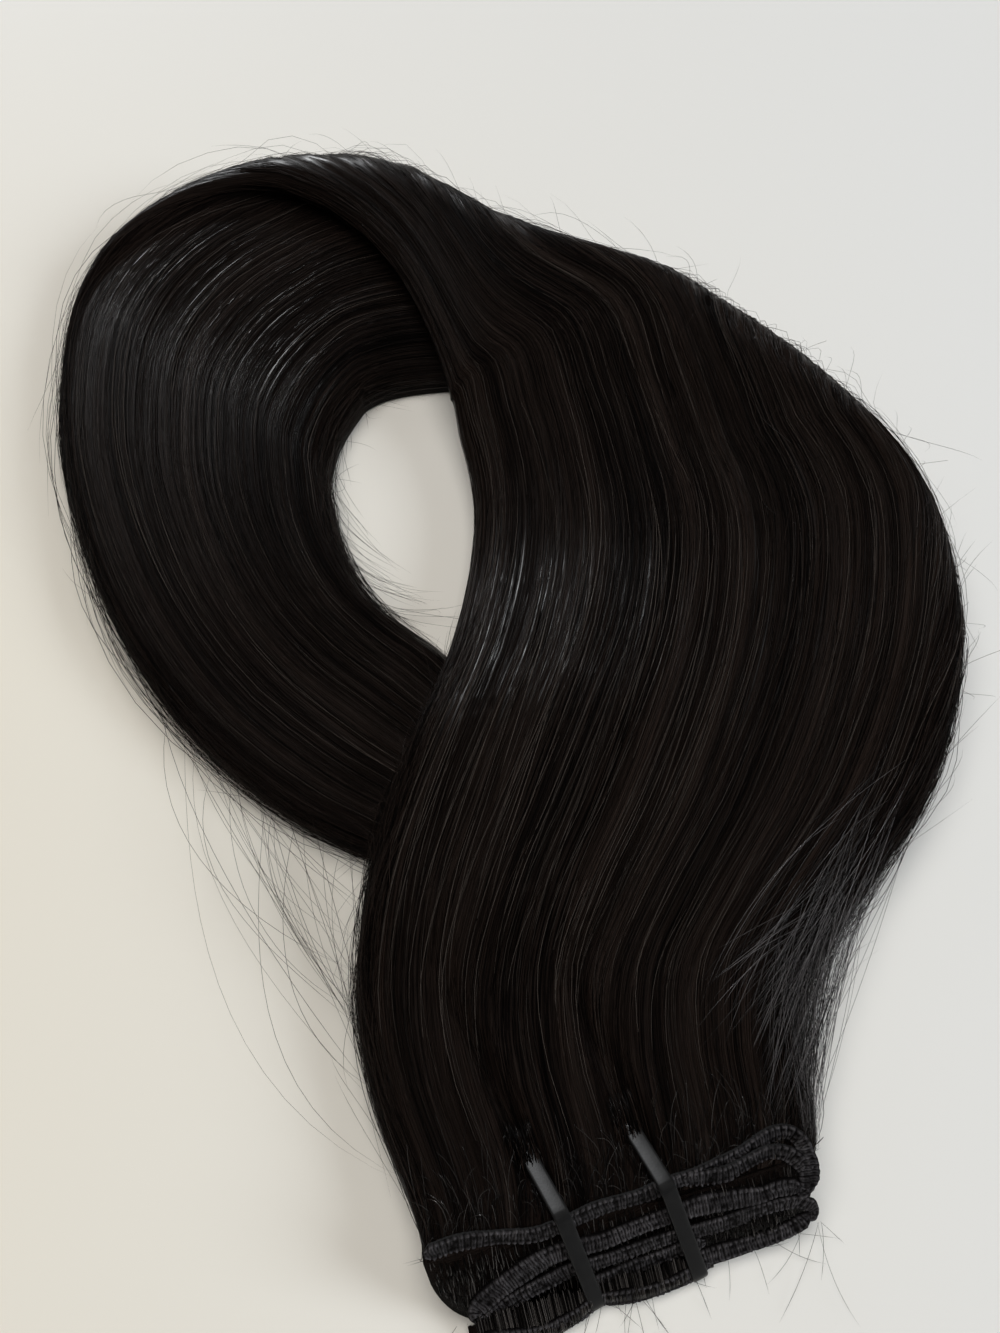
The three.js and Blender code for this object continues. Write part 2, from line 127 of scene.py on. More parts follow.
# The part's own groove above each strap: its depth as a share of the thickness, then its middle from the
# strap and its spread, across and along.
CAD_GROOVE_DEPTH = 0.36
CAD_GROOVE_ACROSS = (-0.05, 0.035)
CAD_GROOVE_ALONG = (0.055, 0.032)

# The combed skin's relief in metres: its ridges from the widest to the finest, the groove above each
# strap, and how deep the strap presses where it lies and just past it. Widths are shares across.
LOCK_DEPTH = 0.0016
WISP_DEPTH = 0.0011
CLUMP_DEPTH = 0.0007
STRAND_DEPTH = 0.00034
GROOVE_DEPTH = 0.0058
GROOVE_WIDTH = 0.026
PRESS_DEPTH = 0.0010
PRESS_GAIN = 0.0016
PRESS_WIDTH = 0.034
PRESS_END = 0.026

# Loose hair stays this share inside the bundle's edges, and at least this high over the floor.
HAIR_EDGE = 0.002
FLOOR_GAP = 0.0003
UP = np.array([0.0, 0.0, 1.0])


# Numbers

def smooth_step(value, start, end):
    """0 before start, 1 after end, and 3t^2 - 2t^3 between them. It falls where end is below start."""
    t = np.clip((value - start) / (end - start), 0, 1)
    return t * t * (3 - 2 * t)


def mix(a, b, share):
    """a at share 0, b at share 1, and a straight line between them."""
    return a + (b - a) * share


def unit(vectors):
    """The same directions, each with a length of 1."""
    return vectors / np.maximum(np.linalg.norm(vectors, axis=-1, keepdims=True), 1e-12)


LATTICE_SIZE = 256
LATTICE = np.random.default_rng(3).random((LATTICE_SIZE, LATTICE_SIZE))


def noise(x, y, seed=0):
    """Value noise from 0 to 1: random heights at whole numbers, blended by smooth steps along x and y.
    The seed shifts the pattern."""
    x, y = np.broadcast_arrays(np.asarray(x, float) + 17.3 * seed, np.asarray(y, float) + 9.1 * seed)
    column, row = np.floor(x).astype(int), np.floor(y).astype(int)
    east, north = smooth_step(x - column, 0, 1), smooth_step(y - row, 0, 1)

    def height(right, up):
        return LATTICE[(column + right) % LATTICE_SIZE, (row + up) % LATTICE_SIZE]

    near = mix(height(0, 0), height(1, 0), east)
    far = mix(height(0, 1), height(1, 1), east)
    return mix(near, far, north)


def ridges(x, y, seed=0):
    """Rounded ridges with sharp creases between them: 1 minus the square of twice the noise less 1."""
    return 1 - (2 * noise(x, y, seed) - 1) ** 2


def between_edges(share):
    """Shares across the bundle, held just inside its two edges."""
    return np.clip(share, HAIR_EDGE, 1 - HAIR_EDGE)


def above_floor(points, gap=FLOOR_GAP):
    """The same points, raised to a small gap over the floor where they are lower."""
    return np.maximum(points, [-np.inf, -np.inf, gap])


# The bundle's own surface

def section_rows(along):
    """Catmull-Rom through the section table, column by column, at the table's own spacing."""
    station = SECTIONS[:, 0]
    slope = np.empty_like(SECTIONS)
    slope[1:-1] = (SECTIONS[2:] - SECTIONS[:-2]) / (station[2:] - station[:-2])[:, None]
    slope[0] = (SECTIONS[1] - SECTIONS[0]) / (station[1] - station[0])
    slope[-1] = (SECTIONS[-1] - SECTIONS[-2]) / (station[-1] - station[-2])
    i = np.clip(np.searchsorted(station, along, side="right") - 1, 0, len(station) - 2)
    span = (station[i + 1] - station[i])[..., None]
    t = ((along - station[i]) / (station[i + 1] - station[i]))[..., None]
    rows = ((2 * t**3 - 3 * t**2 + 1) * SECTIONS[i] + (t**3 - 2 * t**2 + t) * span * slope[i]
            + (3 * t**2 - 2 * t**3) * SECTIONS[i + 1] + (t**3 - t**2) * span * slope[i + 1])
    return dict(zip(SECTION_COLUMNS, np.moveaxis(rows, -1, 0)))


# A flat layer goes on from the roll where the roll's arc ends past this angle from level.
ROLL_MEETS = np.radians(85)


def section_sizes(along):
    """Real sizes of the sections at these stations: layers, roll and thicknesses, in metres and radians."""
    row = section_rows(along)
    stack = np.clip(row["stack"], 0, 1)
    rest = TIE_THICKNESS + CLEARANCE + STACK_HEIGHT / 2
    size = {name: mix(row[name] * PLY, rest, stack) for name in ("crest", "base", "middle", "brim")}
    size |= {name: mix(row[name] * PLY, STACK_HEIGHT, stack) for name in ("upper_ply", "under_ply")}
    start, end = (np.radians(np.clip(row[name], -90, 90)) for name in ("from", "to"))
    opens, closes = np.maximum(start, 0), np.minimum(end, 0)
    radius = np.maximum((size["crest"] - size["base"]) / 2, 1e-5)
    roll = radius * np.maximum(end - start, 0)
    ply_change = roll + PLY
    outermost = np.clip(radius * np.maximum(end, 0) / ply_change, 0, 1)
    shift = (radius * (2 - np.cos(opens) - np.cos(closes)) - np.cos(opens) * np.cos(closes)
             * mix(size["upper_ply"], size["under_ply"], outermost) / 2)
    upper = mix(row["upper"] * SPAN, STACK_WIDTH, stack)
    under = row["under"] * SPAN
    size.update(
        stack=stack, x=row["x"] * SPAN, y=row["y"] * SPAN, bearing=np.radians(row["inward"]),
        lean=STACK_SLOPE * stack, end=end, radius=radius, roll=roll, ply_change=ply_change, shift=shift,
        upper=np.where(end > ROLL_MEETS, np.maximum(upper - radius + shift, 0), 0),
        under=np.where(start < -ROLL_MEETS, np.maximum(under - radius + shift, 0), 0))
    return size


def edge_share(share):
    """How the thickness falls off towards the two free edges: the root of 1 minus the sixth power."""
    return np.sqrt(np.clip(1 - np.abs(2 * share - 1) ** 6, 0, 1))


def plain_comb(along, share, edged):
    """The part's own relief: even locks and a groove above each strap, as a loss of thickness."""
    lock = 1 + LOCK_RISE * (np.abs(np.sin(np.pi * LOCKS * share)) - 0.6)
    beyond = (along - CAD_GROOVE_ALONG[0]) / CAD_GROOVE_ALONG[1]
    dents = 0
    for across in TIES.values():
        aside = (share - across - CAD_GROOVE_ACROSS[0]) / CAD_GROOVE_ACROSS[1]
        dents = dents + CAD_GROOVE_DEPTH * np.exp(-aside**2 - beyond**2)
    return edged * (1 - lock * (1 - dents))


def groove_centre(name, along):
    """The share across of the groove above this strap, at these stations."""
    return TIES[name] - GROOVE_DRIFT * np.minimum(along, GROOVE_END)


def gather(along, share):
    """How far the combing is pulled towards each strap: a bump on either side of the groove's centre."""
    pull = 0
    for name in TIES:
        aside = share - groove_centre(name, along)
        fade = smooth_step(along, 0.0, 0.03) * (1 - smooth_step(along, 0.07, 0.16))
        pull = pull - 0.45 * aside * np.exp(-(aside / 0.07) ** 2) * fade
    return pull


def fine_comb(along, share, edged):
    """Uneven locks, wisps, clumps and single strands, each a set of ridges along the run, and a drifting
    groove above each strap, all as a loss of thickness in metres."""
    drift = 0.5 * noise(along * 5, share * 3, 1)

    def creases(depth, across, waves, drifting, seed):
        return depth * (1 - ridges(share * across + drift * drifting, along * waves, seed))

    locks = creases(LOCK_DEPTH, across=8, waves=4, drifting=1, seed=2)
    wisps = creases(WISP_DEPTH, across=17, waves=7, drifting=1.5, seed=10)
    clumps = creases(CLUMP_DEPTH, across=37, waves=11, drifting=2, seed=3)
    strands = creases(STRAND_DEPTH, across=118, waves=18, drifting=3, seed=4)
    dents = 0
    for name in TIES:
        aside = share - groove_centre(name, along)
        fade = smooth_step(along, 0.012, 0.036) * (1 - smooth_step(along, 0.06, 0.17))
        dents = dents + GROOVE_DEPTH * np.exp(-np.abs(aside / GROOVE_WIDTH) ** 1.5) * fade
        pressed = np.exp(-(aside / PRESS_WIDTH) ** 4) * (1 - smooth_step(along, PRESS_END, 0.034))
        dents = dents + (PRESS_DEPTH + PRESS_GAIN * smooth_step(along, 0.0, PRESS_END)) * pressed
    calm = smooth_step(along, 0.0, 0.02)
    # The ridges fade round one spot of the free edge, beside the top of the loop's eye.
    pinch = 1 - 0.9 * np.exp(-(share / 0.16) ** 2 - ((along - 0.465) / 0.035) ** 2)
    return edge_share(share) * (((locks + wisps) * calm + clumps + strands) * pinch + dents)


def skin(along, share, side, comb=fine_comb, lift=0.0, sag=SAG):
    """Points of the bundle's surface. A hair keeps one share as it runs along. Across, the middle line is
    a flat upper layer, a roll (an arc of a circle) and a flat under layer, and half the thickness is laid
    off along its normal: side 1 is the roll's outside, -1 its inside. Relief always sinks the upper side."""
    along, share, side, lift = np.broadcast_arrays(np.asarray(along, float), share, side, lift)
    size = section_sizes(along)
    run = share * (size["upper"] + size["roll"] + size["under"])
    angle = size["end"] - np.clip(run - size["upper"], 0, size["roll"]) / size["radius"]
    flat = np.maximum(size["upper"] - run, 0)
    inward = (size["radius"] * (1 - np.cos(angle)) + flat
              + np.maximum(run - size["upper"] - size["roll"], 0) - size["shift"])
    turned = np.clip((run - size["upper"]) / size["ply_change"], 0, 1)
    full = mix(size["upper_ply"], size["under_ply"], turned)
    edged = full * edge_share(share)
    ply = edged - np.minimum(comb(along, share, edged), edged)
    reach = flat / np.maximum(size["upper"], 0.001)
    dip = ((size["middle"] - size["crest"]) * smooth_step(reach, 0, MIDDLE_STARTS)
           + (size["brim"] - size["middle"]) * smooth_step(reach, MIDDLE_STARTS, BRIM_STARTS)) * sag
    settle = (edged - ply + (full - edged) * (1 - 2 * size["stack"])) / 2
    off = side * (ply / 2 + lift)
    across = inward - np.cos(angle) * off
    z = ((size["crest"] + size["base"]) / 2 + size["radius"] * np.sin(angle) + dip
         - np.abs(np.sin(angle)) * settle + np.sin(angle) * off)
    ahead = size["lean"] * (z - size["crest"])
    cos, sin = np.cos(size["bearing"]), np.sin(size["bearing"])
    x = size["x"] + cos * across + sin * ahead
    y = size["y"] + sin * across - cos * ahead
    return np.stack([x, y, z], -1) + PLACE


def ring_shares(outside, inside):
    """Shares and sides round one section: out along the roll's outside and back along its inside."""
    share = np.concatenate([np.linspace(0, 1, outside + 1), np.linspace(1, 0, inside + 1)[1:-1]])
    side = np.concatenate([np.ones(outside + 1), -np.ones(inside - 1)])
    return share, side


PLACE = np.zeros(3)


def part_place():
    """The part's frame is centred on its own box, so the plain skin is set where the node's box is."""
    share, side = ring_shares(CAD_SHARES, CAD_SHARES)
    along = np.linspace(0, 1, CAD_STATIONS + 1)[:, None]
    plain = skin(along, share, side, plain_comb, sag=1).reshape(-1, 3)
    low, high = (np.array(corner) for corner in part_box("hair"))
    return (low + high - plain.min(0) - plain.max(0)) / 2 * [1, 1, 0]


PLACE = part_place()


def outward(along):
    """The direction away from the bundle at a station's open side, in plan."""
    bearing = section_sizes(along)["bearing"]
    return -np.stack([np.cos(bearing), np.sin(bearing), np.zeros_like(bearing)], -1)


def bend_measure(count=1201, steady=2.5):
    """Stations, and for each the part of all bending before it: the root of the middle line's curvature
    and a steady part, summed along it. Even parts of it give a strand more points where it bends more."""
    along = np.linspace(0, 1, count)
    line = skin(along, np.full(count, 0.5), 1.0, plain_comb)
    heading = np.gradient(line, axis=0)
    step = np.linalg.norm(heading, axis=1)
    turning = np.linalg.norm(np.gradient(unit(heading), axis=0), axis=1)
    total = np.cumsum(step * (steady + np.sqrt(turning / step)))
    return along, (total - total[0]) / (total[-1] - total[0])


STATION, BENT = bend_measure()


def stations(part):
    """The stations where these parts of all bending are reached."""
    return np.interp(part, BENT, STATION)


# Meshes

def add_mesh(name, points, faces, uv=None, smooth=True):
    """A mesh object from points (n, 3), a list of face arrays (m, 3 or 4) and a UV for each point."""
    mesh = bpy.data.meshes.new(name)
    loops = np.concatenate([face.ravel() for face in faces]).astype(np.int32)
    totals = np.concatenate([np.full(len(face), face.shape[1]) for face in faces]).astype(np.int32)
    starts = np.concatenate([[0], np.cumsum(totals)[:-1]]).astype(np.int32)
    mesh.vertices.add(len(points))
    mesh.vertices.foreach_set("co", np.asarray(points, np.float32).ravel())
    mesh.loops.add(len(loops))
    mesh.loops.foreach_set("vertex_index", loops)
    mesh.polygons.add(len(totals))
    mesh.polygons.foreach_set("loop_start", starts)
    mesh.polygons.foreach_set("loop_total", totals)
    mesh.polygons.foreach_set("use_smooth", np.full(len(totals), smooth))
    if uv is not None:
        layer = mesh.uv_layers.new(name="combing")
        layer.data.foreach_set("uv", np.asarray(uv, np.float32)[loops].ravel())
    mesh.update(calc_edges=True)
    mesh.validate()
    piece = bpy.data.objects.new(name, mesh)
    bpy.context.scene.collection.objects.link(piece)
    return piece


def ring_faces(rings, count):
    """Quads between neighbouring rings of count points each, and flat closing faces at both ends: strips
    between each point of a ring's first half and its mate in the other half, and two triangular tips."""
    ring, spot = np.meshgrid(np.arange(rings - 1), np.arange(count), indexing="ij")
    here, beside = ring * count + spot, ring * count + (spot + 1) % count
    quads = np.stack([here, beside, beside + count, here + count], -1).reshape(-1, 4)
    half, last = count // 2, (rings - 1) * count
    near = np.arange(1, half - 1)
    mate = count - near
    first_end = np.stack([near, mate, mate - 1, near + 1], -1)
    last_end = last + np.stack([near, near + 1, mate - 1, mate], -1)
    first_tips = np.array([[0, count - 1, 1], [half - 1, half + 1, half]])
    last_tips = last + first_tips[:, [0, 2, 1]]
    return [quads, np.concatenate([first_end, last_end]), np.concatenate([first_tips, last_tips])]


def add_rings(name, points, across, along):
    """A closed tube from points (rings, count, 3), with a UV of two values that vary across and along."""
    rings, count = points.shape[:2]
    uv = np.stack(np.broadcast_arrays(across, along), -1)
    return add_mesh(name, points.reshape(-1, 3), ring_faces(rings, count), uv.reshape(-1, 2))


STRAND_SIDES = 3

# A strand whose direction is nearer to straight up than this sine takes its section from the x direction.
UPRIGHT = 0.05


def tubes(centres, radius):
    """Points, faces and a running share for many thin tubes at once. centres is (tubes, steps, 3) and
    radius (tubes, steps). Round each centre, a regular polygon is laid across the tube's direction."""
    count, steps = centres.shape[:2]
    along = unit(np.gradient(centres, axis=1))
    aside = np.cross(along, UP)
    steady = np.linalg.norm(aside, axis=-1, keepdims=True) > UPRIGHT
    aside = unit(np.where(steady, aside, np.cross(along, [1.0, 0.0, 0.0])))[:, :, None]
    above = np.cross(aside, along[:, :, None])
    spots = np.arange(STRAND_SIDES)
    turn = (2 * np.pi * spots / STRAND_SIDES + np.pi / 2)[:, None]
    points = centres[:, :, None] + radius[:, :, None, None] * (np.cos(turn) * aside + np.sin(turn) * above)
    tube, step, spot = np.meshgrid(np.arange(count), np.arange(steps - 1), spots, indexing="ij")
    ring = (tube * steps + step) * STRAND_SIDES
    here, beside = ring + spot, ring + (spot + 1) % STRAND_SIDES
    quads = np.stack([here, beside, beside + STRAND_SIDES, here + STRAND_SIDES], -1)
    first = np.arange(count)[:, None] * steps * STRAND_SIDES
    ends = np.concatenate([first + spots[::-1], first + (steps - 1) * STRAND_SIDES + spots])
    running = np.broadcast_to(np.linspace(0, 1, steps)[:, None], (count, steps, STRAND_SIDES))
    return points.reshape(-1, 3), [quads.reshape(-1, 4), ends], running.reshape(-1)


def add_tubes(name, centres, radius, tone):
    """One piece of many strands. Its UV holds each strand's own tone and the share run along it."""
    points, faces, running = tubes(centres, radius)
    each = np.repeat(tone, centres.shape[1] * STRAND_SIDES)
    return add_mesh(name, points, faces, uv=np.stack([each, running], -1))


def taper(steps, start=0.35, end=0.15, over=0.12):
    """A strand's thickness along its run: thin at both ends, full between."""
    t = np.linspace(0, 1, steps)
    return mix(start, 1, smooth_step(t, 0, over)) * mix(end, 1, smooth_step(1 - t, 0, over * 2))


# Shader maths

class Socket:
    """A node socket that takes part in Python expressions: each operator adds its Math node."""

    def __init__(self, shader, socket):
        self.shader = shader
        self.socket = socket

    def maths(self, operation, *values):
        return self.shader.node("ShaderNodeMath", {"operation": operation}, dict(enumerate(values)))

    def __add__(self, other):
        return self.maths("ADD", self, other)

    def __sub__(self, other):
        return self.maths("SUBTRACT", self, other)

    def __rsub__(self, other):
        return self.maths("SUBTRACT", other, self)

    def __mul__(self, other):
        return self.maths("MULTIPLY", self, other)

    def __pow__(self, other):
        return self.maths("POWER", self, other)

    __radd__ = __add__
    __rmul__ = __mul__

    def between(self, low, high):
        """0 at low, 1 at high, held at both."""
        return self.shader.node("ShaderNodeMapRange", {"clamp": True},
                                {"Value": self, "From Min": low, "From Max": high})


# The sockets of a Mix node that blends colours.
MIX_SHARE, MIX_FIRST, MIX_SECOND, MIX_RESULT = 0, 6, 7, 2


class Shader:
    """A material's nodes. node() sets a node's own settings first, then its sockets."""

    def __init__(self, name):
        self.material = bpy.data.materials.new(name)
        self.material.use_nodes = True
        self.tree = self.material.node_tree
        self.surface = self.tree.nodes["Principled BSDF"]

    def node(self, kind, settings, inputs, output=0):
        made = self.tree.nodes.new(kind)
        for key, value in settings.items():
            setattr(made, key, value)
        for key, value in inputs.items():
            self.plug(made.inputs[key], value)
        return Socket(self, made.outputs[output])

    def plug(self, socket, value):
        if isinstance(value, Socket):
            self.tree.links.new(value.socket, socket)
        else:
            socket.default_value = value

    def combing(self):
        """The piece's UV: across the combing and along it."""
        return self.axes(self.node("ShaderNodeUVMap", {"uv_map": "combing"}, {}))

    def place(self):
        """The place on the piece, in metres."""
        return self.node("ShaderNodeTexCoord", {}, {}, output="Object")

    def axes(self, vector):
        """The first two parts of a vector."""
        x = self.node("ShaderNodeSeparateXYZ", {}, {"Vector": vector}, output="X")
        return x, Socket(self, x.socket.node.outputs["Y"])

    def vector(self, x, y):
        return self.node("ShaderNodeCombineXYZ", {}, {"X": x, "Y": y})

    def grain(self, vector, scale, detail=2.0, rough=0.5):
        """Noise about 0.5, finer with its scale."""
        sockets = {"Vector": vector, "Scale": scale, "Detail": detail, "Roughness": rough}
        return self.node("ShaderNodeTexNoise", {}, sockets)

    def blend(self, share, first, second):
        """From one colour to another."""
        sockets = {MIX_SHARE: share, MIX_FIRST: first, MIX_SECOND: second}
        return self.node("ShaderNodeMix", {"data_type": "RGBA"}, sockets, output=MIX_RESULT)

    def bump(self, height, strength, distance):
        sockets = {"Height": height, "Strength": strength, "Distance": distance}
        return self.node("ShaderNodeBump", {}, sockets)

    def finish(self, **sockets):
        """Plugs the surface's sockets, named with underscores for spaces, and gives the material."""
        for name, value in sockets.items():
            self.plug(self.surface.inputs[name.replace("_", " ")], value)
        return self.material


# Finishes

# Hair runs from near-black to a light end that differs by kind, and two of these ends hold painted light:
# shade on the loop and sheen on the side hairs.
HAIR_BLACK = (0.0016, 0.0012, 0.0012, 1)
HAIR_BROWN = (0.0270, 0.0180, 0.0148, 1)
# The loop's light end is the combed hair's made about a sixth darker, as painted shade for the roll's inside.
LOOP_SHADED_BROWN = (0.0225, 0.0150, 0.0126, 1)
SURFACE_BROWN = (0.085, 0.070, 0.062, 1)
DRY_GREY = (0.060, 0.054, 0.052, 1)
# The side hairs' pale grey is a painted sheen: the grey that light lends the thin hair over the right hollow
# and side.
SIDE_SHEEN_GREY = (0.190, 0.180, 0.188, 1)
HAIR_ROUGHNESS = 0.28
STRAND_ROUGHNESS = HAIR_ROUGHNESS + 0.08
COAT_ROUGHNESS = 0.25
HAIR_GLOSS = 0.05
STRAND_GLOSS = 0.03
LOOP_GLOSS = 0.14
DRY_GLOSS = 0.25

THREAD_DARK = (0.0030, 0.0026, 0.0028, 1)
THREAD_PALE = (0.074, 0.070, 0.076, 1)
THREAD_GLOSS = 0.14
STRAP_BLACK = (0.006, 0.006, 0.0065, 1)
STRAP_HAZE = (0.013, 0.013, 0.0135, 1)
STRAP_GLOSS = 0.22


def bundle_hair():
    """Combed hair: long fine streaks along the run drive the tone, the gloss and a strand-wide bump."""
    shader = Shader("bundle_hair")
    across, along = shader.combing()
    wide = shader.grain(shader.vector(across * 26, along * 7), 1, 3, 0.55)
    fine = shader.grain(shader.vector(across * 210, along * 14), 1, 2, 0.6)
    hairs = shader.grain(shader.vector(across * 620, along * 30), 1, 1, 0.5)
    tone = (wide * 0.45 + fine * 0.55).between(0.40, 0.74)
    height = wide * 1.6 + fine * 0.6 + hairs * 0.4
    return shader.finish(
        Base_Color=shader.blend(tone * 0.7, HAIR_BLACK, HAIR_BROWN),
        Roughness=HAIR_ROUGHNESS + (wide - 0.5) * 0.30,
        Normal=shader.bump(height, 0.85, 0.00028),
        Coat_Weight=wide.between(0.50, 0.66) * 0.17,
        Coat_Roughness=COAT_ROUGHNESS,
        Specular_IOR_Level=HAIR_GLOSS)


def loose_hair(name, light_end, gloss, shine, coat_roughness=COAT_ROUGHNESS, roughness=STRAND_ROUGHNESS):
    """Single hairs: each strand's own tone runs from near-black to its light end, and the lighter ones
    have a shine, so that whole locks of them light up."""
    shader = Shader(name)
    tone, along = shader.combing()
    flicker = shader.grain(shader.vector(tone * 90, along * 25), 1, 2)
    dye = (tone * 0.75 + flicker * 0.25).between(0.28, 0.82) ** 1.5
    return shader.finish(
        Base_Color=shader.blend(dye, HAIR_BLACK, light_end),
        Roughness=roughness + flicker * 0.10,
        Coat_Weight=tone.between(0.44, 0.66) * shine,
        Coat_Roughness=coat_roughness,
        Specular_IOR_Level=gloss)


def sewing_thread():
    """Charcoal thread: fibres speckle it, the dye is uneven, and it is paler on its raised stitches and bars.
    """
    shader = Shader("sewing_thread")
    raised = shader.combing()[0]
    speck = shader.grain(shader.place(), 2600, 2)
    patch = shader.grain(shader.place(), 160, 2)
    # The thread is paler on its raised stitches and bars, and in patches.
    pale_share = raised.between(0.12, 0.80) * (speck * 0.5 + patch * 0.5).between(0.25, 0.65)
    return shader.finish(
        Base_Color=shader.blend(pale_share, THREAD_DARK, THREAD_PALE),
        Roughness=0.62 + speck * 0.25,
        Normal=shader.bump(speck, 0.5, 0.00025),
        Specular_IOR_Level=THREAD_GLOSS)


def moulded_strap():
    """Black moulded plastic: satin, with faint flow marks."""
    shader = Shader("moulded_strap")
    haze = shader.grain(shader.place(), 420, 3)
    scuff = shader.grain(shader.place(), 2200, 2)
    return shader.finish(
        Base_Color=shader.blend(haze, STRAP_BLACK, STRAP_HAZE),
        Roughness=0.28 + haze * 0.12,
        Normal=shader.bump(scuff, 0.10, 0.0001),
        Specular_IOR_Level=STRAP_GLOSS)


# Hair pieces

def dress(piece, material, slot, *nodes):
    """Every piece rides on the one body, takes its finish, and may stand for part nodes. Its slot is not
    used.
    """
    piece.data.materials.append(material)
    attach(piece, "root")
    if nodes:
        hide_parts(*nodes)
    return piece


def hair_bundle(rings=134, outside=290, inside=156):
    """The whole bundle as one combed skin: rings of the section, closer than the part's."""
    share, side = ring_shares(outside, inside)
    along = stations(np.linspace(0, 1, rings))[:, None]
    combed = share - gather(along, share) + 2 * (side < 0)
    return add_rings("hair_bundle", skin(along, share, side), combed, along)


def strand_lines(share, start, end, side, steps, lift, wander):
    """Strands on the skin: each keeps its share but for a slow wander, from one station to another."""
    t = np.linspace(0, 1, steps)
    first, last = np.interp(start, STATION, BENT), np.interp(end, STATION, BENT)
    along = stations(mix(first[:, None], last[:, None], t))
    share = share[:, None]
    stray = wander[:, None] * (noise(along * 9 + 40 * share, share * 600, 5) - 0.5)
    rise = lift[:, None] * (0.2 + noise(along * 22, share * 900, 6))
    return skin(along, between_edges(share + stray + gather(along, share)), side, lift=rise)


# Half the thickness of single hairs in metres, from the thinnest to the thickest of each kind.
HAIR_RADIUS = {
    "combed": (0.00007, 0.00014),
    "stray": (0.000036, 0.000058),
    "veil": (0.00005, 0.00009),
    "short": (0.00005, 0.00009),
    "surface": (0.00005, 0.00008),
    "bridge": (0.00004, 0.00007),
    "foot": (0.00004, 0.00006),
    "folded": (0.00009, 0.00019),
    "tip": (0.00006, 0.00011),
}


def strand_radius(rng, kind, count, steps):
    """A random thickness for each hair of a kind, tapered along its steps."""
    return mix(*HAIR_RADIUS[kind], rng.random(count))[:, None] * taper(steps)


def lock_tone(rng, share, locks):
    """Each strand's tone: mostly its lock's, partly its own."""
    return mix(noise(share * locks, 0.5, 19), rng.random(len(share)), 0.45)


def upper_strands(count, seed, steps=34, locks=34):
    """Strands over the side that shows from the weft to the roll and on along the brim."""
    rng = np.random.default_rng(seed)
    share = (np.arange(count) + rng.random(count)) / count
    start = 0.002 + 0.25 * rng.random(count) ** 3
    leaves = mix(0.72, 0.42, share)
    end = np.minimum(leaves + 0.05 * rng.random(count), start + 0.25 + 0.5 * rng.random(count))
    lift = 0.00005 + 0.0003 * rng.random(count) ** 2
    lines = strand_lines(share, start, end, 1.0, steps, lift, 0.02 * rng.random(count))
    return lines, strand_radius(rng, "combed", count, steps), lock_tone(rng, share, locks)


def loop_strands(count, seed, steps=28, locks=15):
    """Strands over the loop's upper side, which is the roll's inside."""
    rng = np.random.default_rng(seed)
    share = (np.arange(count) + rng.random(count)) / count
    start = mix(0.60, 0.44, share) + 0.1 * rng.random(count)
    end = np.minimum(0.99, start + 0.2 + 0.4 * rng.random(count))
    lift = 0.00005 + 0.0003 * rng.random(count) ** 2
    lines = strand_lines(share, start, end, -1.0, steps, lift, 0.02 * rng.random(count))
    return lines, strand_radius(rng, "combed", count, steps), lock_tone(rng, share, locks)


def stray_lines(rng, count, share, along, side, reach, rise, out, veil=False, steps=11):
    """Loose hairs that leave the skin: each follows it for a reach of the run, either way, while it rises
    and moves out from the bundle's open side in plan by a power of the share run, so its tip stays free.
    A veil's hairs bow away and come back, as an arch."""
    t = np.linspace(0, 1, steps)

    def pick(low, high, power=1):
        return mix(low, high, rng.random(count) ** power)[:, None]

    station, length = pick(*along), pick(*reach)
    height, aside = pick(*rise, 2), pick(*out, 2)
    away = t ** pick(1.3, 2.6) * (1 - pick(0.0, 0.7) * t**3)
    if veil:
        away = np.sin(np.pi * t) ** pick(1.0, 2.0)
    way = np.sign(rng.random(count) - 0.25)[:, None]
    path = np.clip(station + way * length * t, 0.001, 0.999)
    drift = pick(-0.03, 0.03) * t
    points = skin(path, between_edges(pick(*share) + drift), side, plain_comb, 0.0001 + height * away)
    return above_floor(points + outward(path) * (aside * away)[..., None], gap=0.0002)


def stray_piece(name, seed, groups, kind, darkest=0.0):
    """A piece of loose hairs from groups, each with a count, its ranges of share and station, its side,
    its ranges of reach, rise and way out, and whether it is a veil. Tones run from the darkest to 1."""
    rng = np.random.default_rng(seed)
    lines = np.concatenate([stray_lines(rng, *group) for group in groups])
    radius = strand_radius(rng, kind, *lines.shape[:2])
    return add_tubes(name, lines, radius, mix(darkest, 1.0, rng.random(len(lines))))


